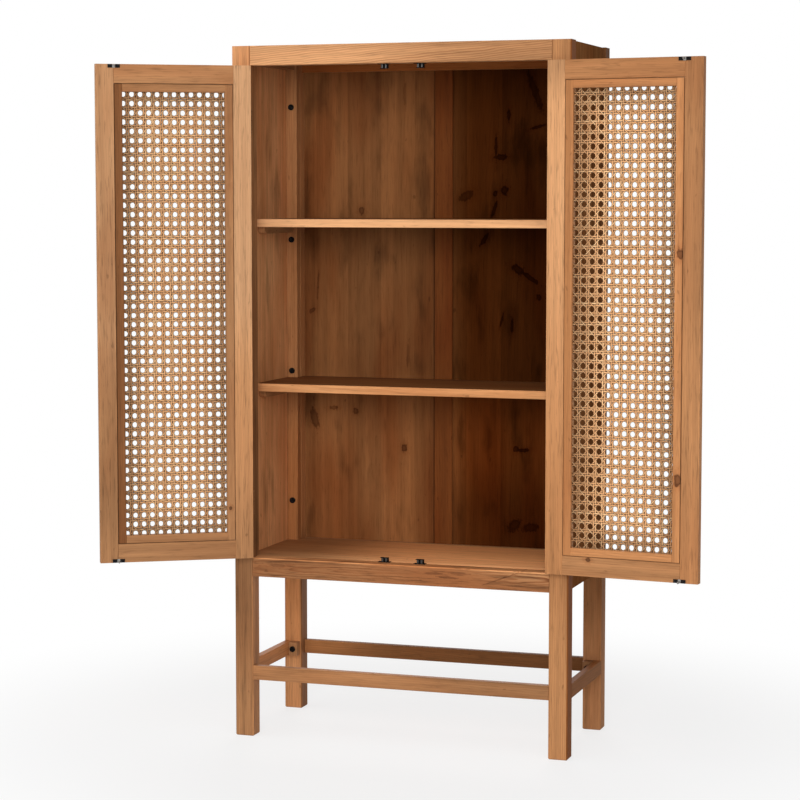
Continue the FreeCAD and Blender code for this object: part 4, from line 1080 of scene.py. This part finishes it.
class CABINET_OT_screws(bpy.types.Operator):
    """Drive the screws of the catches, the strikes and the hinges."""
    bl_idname = "cabinet.screws"
    bl_label = "Screws"

    def execute(self, context):
        look = context.scene.cabinet_fittings
        chance = np.random.default_rng(SEED)
        black, brass = bpy.data.materials["black_lacquer"], bpy.data.materials["aged_brass"]
        small = (look.small_head / 2, look.head_rise, chance)
        large = (look.large_head / 2, look.head_rise / 2, chance)
        catch = joined([
            screws(catch_seats("lower"), (0, 0, 1), *small),
            screws(catch_seats("upper"), (0, 0, -1), *small)])
        piece("catch_screws", *catch, black, "carcass", "black_steel")
        inside = board_box("front_right_post")[0][0]
        post = joined([
            screws(leaf_seats("post_hinge_leaves", -inside), (1, 0, 0), *large),
            screws(leaf_seats("post_hinge_leaves", inside), (-1, 0, 0), *large)])
        piece("post_hinge_screws", *post, brass, "carcass", "hinge_steel")
        for side, outward_x in (("left", -1), ("right", 1)):
            door = f"{side}_door"
            points, faces = screws(strike_seats(side), (0, 1, 0), *small)
            piece(f"{side}_strike_screws", opened(points, side), faces, black, door, "black_steel")
            low, high = board_box(f"{door}_hinge_stile")
            edge = low[0] if outward_x < 0 else high[0]
            points, faces = screws(leaf_seats(f"{door}_hinge_leaves", edge), (outward_x, 0, 0), *large)
            piece(f"{door}_hinge_screws", opened(points, side), faces, brass, door, "hinge_steel")
        return {"FINISHED"}


# Woven cane

# The first hole's place from the hinge and from the top of a sheet, in millimetres
FIRST_GAP = {"left": (20.8, 27.2), "right": (26.3, 23.2)}
STEPS_PER_PITCH = 6
SHORTEST_DIAGONAL = 1
STRAY_PACE = (0.5, 1.1)
PLACES_ACROSS = (1, 0.5, 0, 0.5)
# Painted light: the right door's cane is made brighter than the left door's, as if it caught more light.
SHEET_LIGHT = {"left": 1.07, "right": 1.14}
CANE_FIBRES = (40.0, 9.0, 50.0)
CANE_JOINTS = (9.0, 70.0)
CANE_CLOUDS = (14.0, 2.0)
DRY_SPAN = (0.45, 1.0)
DRY_SHARE = 0.7
WAX_SPAN = (0.5, 0.75)
WAX_SHARE = 0.5
# Painted shade: the span and the darkness of the darkened edges of each strand.
EDGE_SPAN = (0.25, 0.9)
EDGE_SHADE = 0.85
# Painted shadow: how much the cane darkens next to the beads.
BEAD_SHADOW = 0.45
CANE_TONE = 1.05
CANE_FIBRE_TONE = 0.6
CANE_CLOUD_TONE = 0.25
CANE_ROUGHNESS = (0.4, 0.3)
CANE_RELIEF = (0.08 * MM, 0.5)
CANE_SHEEN = 0.2


class Weave:
    """The lattice of a cane sheet. Columns and rows count in pitches, with a pair on each whole one."""

    def __init__(self, side):
        look = bpy.context.scene.cabinet_cane
        self.look = look
        self.low, self.high = board_box(f"{side}_door_cane")
        from_hinge, from_top = FIRST_GAP[side]
        gap = self.low[0] + from_hinge * MM if side == "left" else self.high[0] - from_hinge * MM
        self.pitch = np.array((look.pitch_across, 1, look.pitch_down))
        self.start = np.array((gap, 0, self.high[2] - from_top * MM)) - self.pitch * (0.5, 0, 0.5)
        self.middle = (self.low[1] + self.high[1]) / 2
        edge = look.pair_offset + look.strand_width / 2 + look.sway
        self.first = (self.low - self.start + edge) / self.pitch
        self.last = (self.high - self.start - edge) / self.pitch

    def lines(self, axis):
        """Whole numbers of the pairs that fit on the sheet."""
        return np.arange(math.ceil(self.first[axis]), math.floor(self.last[axis]) + 1)

    def paths(self, columns, height, rows):
        """Points from columns and rows in pitches and a height off the sheet's middle."""
        columns, height, rows = np.broadcast_arrays(columns, height, rows)
        return np.stack((
            self.start[0] + columns * self.pitch[0],
            self.middle + height,
            self.start[2] + rows * self.pitch[2]), axis=-1)


def steps_between(first, last):
    """Even steps along a strand, a few to each pitch."""
    return np.linspace(first, last, int((last - first) * STEPS_PER_PITCH) + 1)


def stray(chance, strands, along, sway):
    """A slow sideways wander, a sine of a thrown length and phase for each strand."""
    phase = chance.uniform(0, 2 * np.pi, (strands, 1))
    pace = chance.uniform(*STRAY_PACE, (strands, 1))
    return sway * np.sin(along * pace + phase)


def upright_paths(weave, chance):
    """Pairs of uprights, one each side of a whole column, which rise in turn as a sine of the row."""
    offset = weave.look.pair_offset / weave.pitch[0]
    lines = weave.lines(0)
    columns = np.concatenate((lines - offset, lines + offset))[:, None]
    sign = np.repeat((1, -1), len(lines))[:, None]
    rows = steps_between(weave.first[2], weave.last[2])
    columns = columns + stray(chance, len(columns), rows, weave.look.sway) / weave.pitch[0]
    return weave.paths(columns, sign * weave.look.wave * np.sin(2 * np.pi * rows), rows)


def level_paths(weave, chance):
    """Pairs of level strands, which pass over where the uprights pass under."""
    offset = weave.look.pair_offset / weave.pitch[2]
    lines = weave.lines(2)
    rows = np.concatenate((lines - offset, lines + offset))[:, None]
    sign = np.repeat((-1, 1), len(lines))[:, None]
    columns = steps_between(weave.first[0], weave.last[0])
    rows = rows + stray(chance, len(rows), columns, weave.look.sway) / weave.pitch[2]
    return weave.paths(columns, sign * weave.look.wave * np.sin(2 * np.pi * columns), rows)


def diagonal_paths(weave, chance, slope):
    """Single diagonals, half a pitch off the crossings, over one set of pairs and under the other."""
    left, right, foot, top = weave.first[0], weave.last[0], weave.first[2], weave.last[2]
    share = np.linspace(0, 1, int((right - left) * STEPS_PER_PITCH) + 1)
    corners = (foot - right, top - left) if slope > 0 else (foot + left, top + right)
    starts = np.arange(math.ceil(corners[0]), math.floor(corners[1]) + 1)[:, None] + 0.5
    ends = np.sort(np.stack(((foot - starts) * slope, (top - starts) * slope)), axis=0)
    begin, end = np.maximum(left, ends[0]), np.minimum(right, ends[1])
    long_enough = (end - begin)[:, 0] > SHORTEST_DIAGONAL
    starts, begin, end = starts[long_enough], begin[long_enough], end[long_enough]
    columns = begin + (end - begin) * share
    wander = stray(chance, len(starts), columns, weave.look.sway) / weave.pitch[2]
    rows = starts + slope * columns + wander
    return weave.paths(columns, -slope * weave.look.wave * np.cos(2 * np.pi * columns), rows)


def strand_marks(chance, paths):
    """For each point of the swept strands: a thrown tone, the way along in metres and the place across."""
    strands, steps = paths.shape[:2]
    tone = np.broadcast_to(chance.uniform(0, 1, (strands, 1)), (strands, steps))
    run = np.linalg.norm(np.diff(paths, axis=1), axis=-1)
    along = np.concatenate((np.zeros((strands, 1)), np.cumsum(run, axis=1)), axis=1)
    marks = np.broadcast_arrays(tone[..., None], along[..., None], np.array(PLACES_ACROSS))
    return np.stack(marks, axis=-1).reshape(-1, 3)


def cane_finish(side):
    """Cane skin with fibres along each strand, drier strands, wax in the crossings, painted shade along the
    strand edges and painted shadow near the beads.
    """
    look = bpy.context.scene.cabinet_cane
    finish = Finish(f"{side}_woven_cane")
    mark = finish.node("ShaderNodeAttribute", {"attribute_name": "strand"}).output("Vector")
    tone, along, across = finish.split(mark)
    rates = zip((along, across, tone), CANE_FIBRES)
    fibres = finish.noise(finish.point(*(part * rate for part, rate in rates)), detail=FINE_DETAIL)
    joints = finish.noise(finish.point(along * CANE_JOINTS[0], tone * CANE_JOINTS[1], 0.0))
    clouds = finish.noise(finish.place(), *CANE_CLOUDS)
    node = f"{side}_door_cane"
    from_beads = BeadFrame(node, finish.split(board_point(finish, node))).from_edge()
    # Painted shadow: darker near the beads, as they would shade the cane.
    bead_shadow = 1 - from_beads.rise(BEAD_WIDTH, BEAD_WIDTH + look.bead_shadow_reach)
    cane = finish.blend(tone.rise(*DRY_SPAN) * DRY_SHARE, look.skin, look.dry)
    cane = finish.blend(joints.rise(*WAX_SPAN) * WAX_SHARE, cane, look.darkening)
    # Painted shade: the edges of each strand are darkened, as if turned away from the light.
    edge = (abs(across - 0.5) * 2.0).rise(*EDGE_SPAN)
    shade = CANE_TONE + fibres * CANE_FIBRE_TONE + clouds * CANE_CLOUD_TONE
    shade = shade * (1 - edge * EDGE_SHADE) * (1 - bead_shadow * BEAD_SHADOW) * SHEET_LIGHT[side]
    finish.surface(
        Base_Color=finish.brighten(cane, shade),
        Roughness=varied(CANE_ROUGHNESS, fibres),
        Normal=finish.bump(fibres, *CANE_RELIEF),
        Specular_IOR_Level=CANE_SHEEN)
    return finish.material


class CABINET_OT_cane(bpy.types.Operator):
    """Weave the cane sheets of both doors from pairs of strands and two sets of diagonals."""
    bl_idname = "cabinet.cane"
    bl_label = "Woven cane"

    def execute(self, context):
        for seed, side in enumerate(DOORS):
            material = cane_finish(side)
            chance = np.random.default_rng(SEED + seed)
            weave, look = Weave(side), context.scene.cabinet_cane
            right, forward, up = np.eye(3)
            lean = (right * weave.pitch[2] - up * weave.pitch[0]) / np.hypot(weave.pitch[0], weave.pitch[2])
            sets = {
                "uprights": (upright_paths(weave, chance), right, look.strand_width),
                "levels": (level_paths(weave, chance), up, look.strand_width),
                "rising_diagonals": (diagonal_paths(weave, chance, 1), lean, look.diagonal_width),
                "falling_diagonals": (
                    diagonal_paths(weave, chance, -1), lean * (1, 0, -1), look.diagonal_width),
            }
            for name, (paths, across, width) in sets.items():
                points, faces = swept(paths, across, forward, width / 2, look.strand_thickness / 2)
                strands = piece(
                    f"{side}_cane_{name}", opened(points, side), faces, material,
                    f"{side}_door", "woven_cane", strand_marks(chance, paths))
                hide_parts(f"{side}_door_cane")
        return {"FINISHED"}


# Studio, in metres

LAMPS = {"key": (1.6, -7.6, 2.7), "fill": (-5.0, -1.0, 2.4), "back": (-1.0, 5.0, 2.6)}
LAMP_SIZE = 3.0
LAMP_AIM = (0, 0, 1.0)
FLOOR_GRAIN = (3.0, 2.0)
FLOOR_TONE = (0.99, 0.02)
FLOOR_WHITE = (0.72, 0.28)
SHADOW_REACH = (0.7, 1.7)
CLIP_END = 500


def lamp(name, place, power):
    """A square soft lamp that faces the cabinet's middle."""
    data = bpy.data.lights.new(name, "AREA")
    data.size = LAMP_SIZE
    data.energy = power
    made = bpy.data.objects.new(name, data)
    bpy.context.scene.collection.objects.link(made)
    made.location = place
    forward = np.array(LAMP_AIM) - np.array(place)
    heading = math.atan2(forward[0], -forward[1])
    tilt = math.atan2(math.hypot(forward[0], forward[1]), -forward[2])
    made.rotation_euler = (tilt, 0, heading + math.pi)


def seen_directly(nodes):
    """Light paths that show the background: the camera's, and those through gloss and glass."""
    path = nodes.node("ShaderNodeLightPath")
    return path.output("Is Camera Ray").greater(path.output("Is Glossy Ray")).greater(
        path.output("Is Transmission Ray"))


def floor_finish():
    """A pale matt floor that keeps the shadow close by and goes over to plain white further away."""
    look = bpy.context.scene.cabinet_studio
    finish = Finish("studio_floor")
    spot = finish.place()
    x, y = finish.split(spot)[:2]
    away = (x * x + y * y).root().rise(*SHADOW_REACH)
    grain = finish.noise(spot, *FLOOR_GRAIN)
    shade = finish.brighten(look.floor, varied(FLOOR_TONE, grain))
    matt = finish.node("ShaderNodeBsdfDiffuse", inputs={"Color": shade})
    white = finish.node("ShaderNodeEmission")
    share = seen_directly(finish) * varied(FLOOR_WHITE, away)
    finish.show(finish.node("ShaderNodeMixShader", inputs={0: share, 1: matt, 2: white}))
    return finish.material


class CABINET_OT_stage(bpy.types.Operator):
    """Set up the floor, the white surroundings, the lamps and the camera."""
    bl_idname = "cabinet.stage"
    bl_label = "Studio"

    def execute(self, context):
        look = context.scene.cabinet_studio
        self.floor(look)
        self.surroundings(context.scene, look)
        for name, place in LAMPS.items():
            lamp(f"{name}_lamp", place, getattr(look, f"{name}_power"))
        self.camera(context.scene, look)
        context.scene.view_settings.view_transform = "Standard"
        return {"FINISHED"}

    def floor(self, look):
        """A square floor under the feet."""
        corners = np.array(((-1, -1, 0), (1, -1, 0), (1, 1, 0), (-1, 1, 0))) * look.floor_reach
        mesh = bpy.data.meshes.new("studio_floor")
        mesh.from_pydata(corners, [], [(0, 1, 2, 3)])
        mesh.materials.append(floor_finish())
        made = bpy.data.objects.new("studio_floor", mesh)
        bpy.context.scene.collection.objects.link(made)

    def surroundings(self, scene, look):
        """White where it is seen, and elsewhere a soft light that grows towards the front."""
        world = bpy.data.worlds.new("studio_world")
        nodes = Nodes(world)
        towards_front = nodes.split(nodes.node("ShaderNodeTexCoord").output("Generated"))[1] * -1.0
        light = look.ambient + towards_front.greater(0.0) * look.front_light
        seen = seen_directly(nodes)
        strength = light + seen * (1 - light)
        glow = nodes.node("ShaderNodeBackground", inputs={"Color": (1, 1, 1), "Strength": strength})
        nodes.node("ShaderNodeOutputWorld", inputs={"Surface": glow})
        scene.world = world

    def camera(self, scene, look):
        """A long lens to the right of the cabinet, turned to the left and a little down."""
        data = bpy.data.cameras.new("camera")
        data.lens = look.lens
        data.clip_end = CLIP_END
        made = bpy.data.objects.new("camera", data)
        scene.collection.objects.link(made)
        made.location = (look.camera_right, -look.camera_front, look.camera_height)
        made.rotation_euler = (math.pi / 2 - look.camera_pitch, 0, look.camera_yaw)
        scene.camera = made


OPERATORS = (CABINET_OT_pine, CABINET_OT_fittings, CABINET_OT_screws, CABINET_OT_cane, CABINET_OT_stage)


class CABINET_PT_panel(bpy.types.Panel):
    """Lists the steps that dress the cabinet and the settings that they read."""
    bl_idname = "CABINET_PT_panel"
    bl_label = "Cane door cabinet"
    bl_space_type = "VIEW_3D"
    bl_region_type = "UI"
    bl_category = "Cabinet"

    def draw(self, context):
        for operator in OPERATORS:
            self.layout.operator(operator.bl_idname)
        for name, group in SETTINGS.items():
            box = self.layout.box()
            for key in group.__annotations__:
                box.prop(getattr(context.scene, name), key)


CLASSES = (*SETTINGS.values(), *OPERATORS, CABINET_PT_panel)


def register():
    """Adds the settings, the steps and the panel."""
    for item in CLASSES:
        bpy.utils.register_class(item)
    for name, group in SETTINGS.items():
        setattr(bpy.types.Scene, name, bpy.props.PointerProperty(type=group))


def unregister():
    """Takes the settings, the steps and the panel away again."""
    for name in SETTINGS:
        delattr(bpy.types.Scene, name)
    for item in reversed(CLASSES):
        bpy.utils.unregister_class(item)


def main():
    """Runs the steps in order."""
    register()
    bpy.ops.cabinet.pine()
    bpy.ops.cabinet.fittings()
    bpy.ops.cabinet.screws()
    bpy.ops.cabinet.cane()
    bpy.ops.cabinet.stage()


if __name__ == "__main__":
    main()
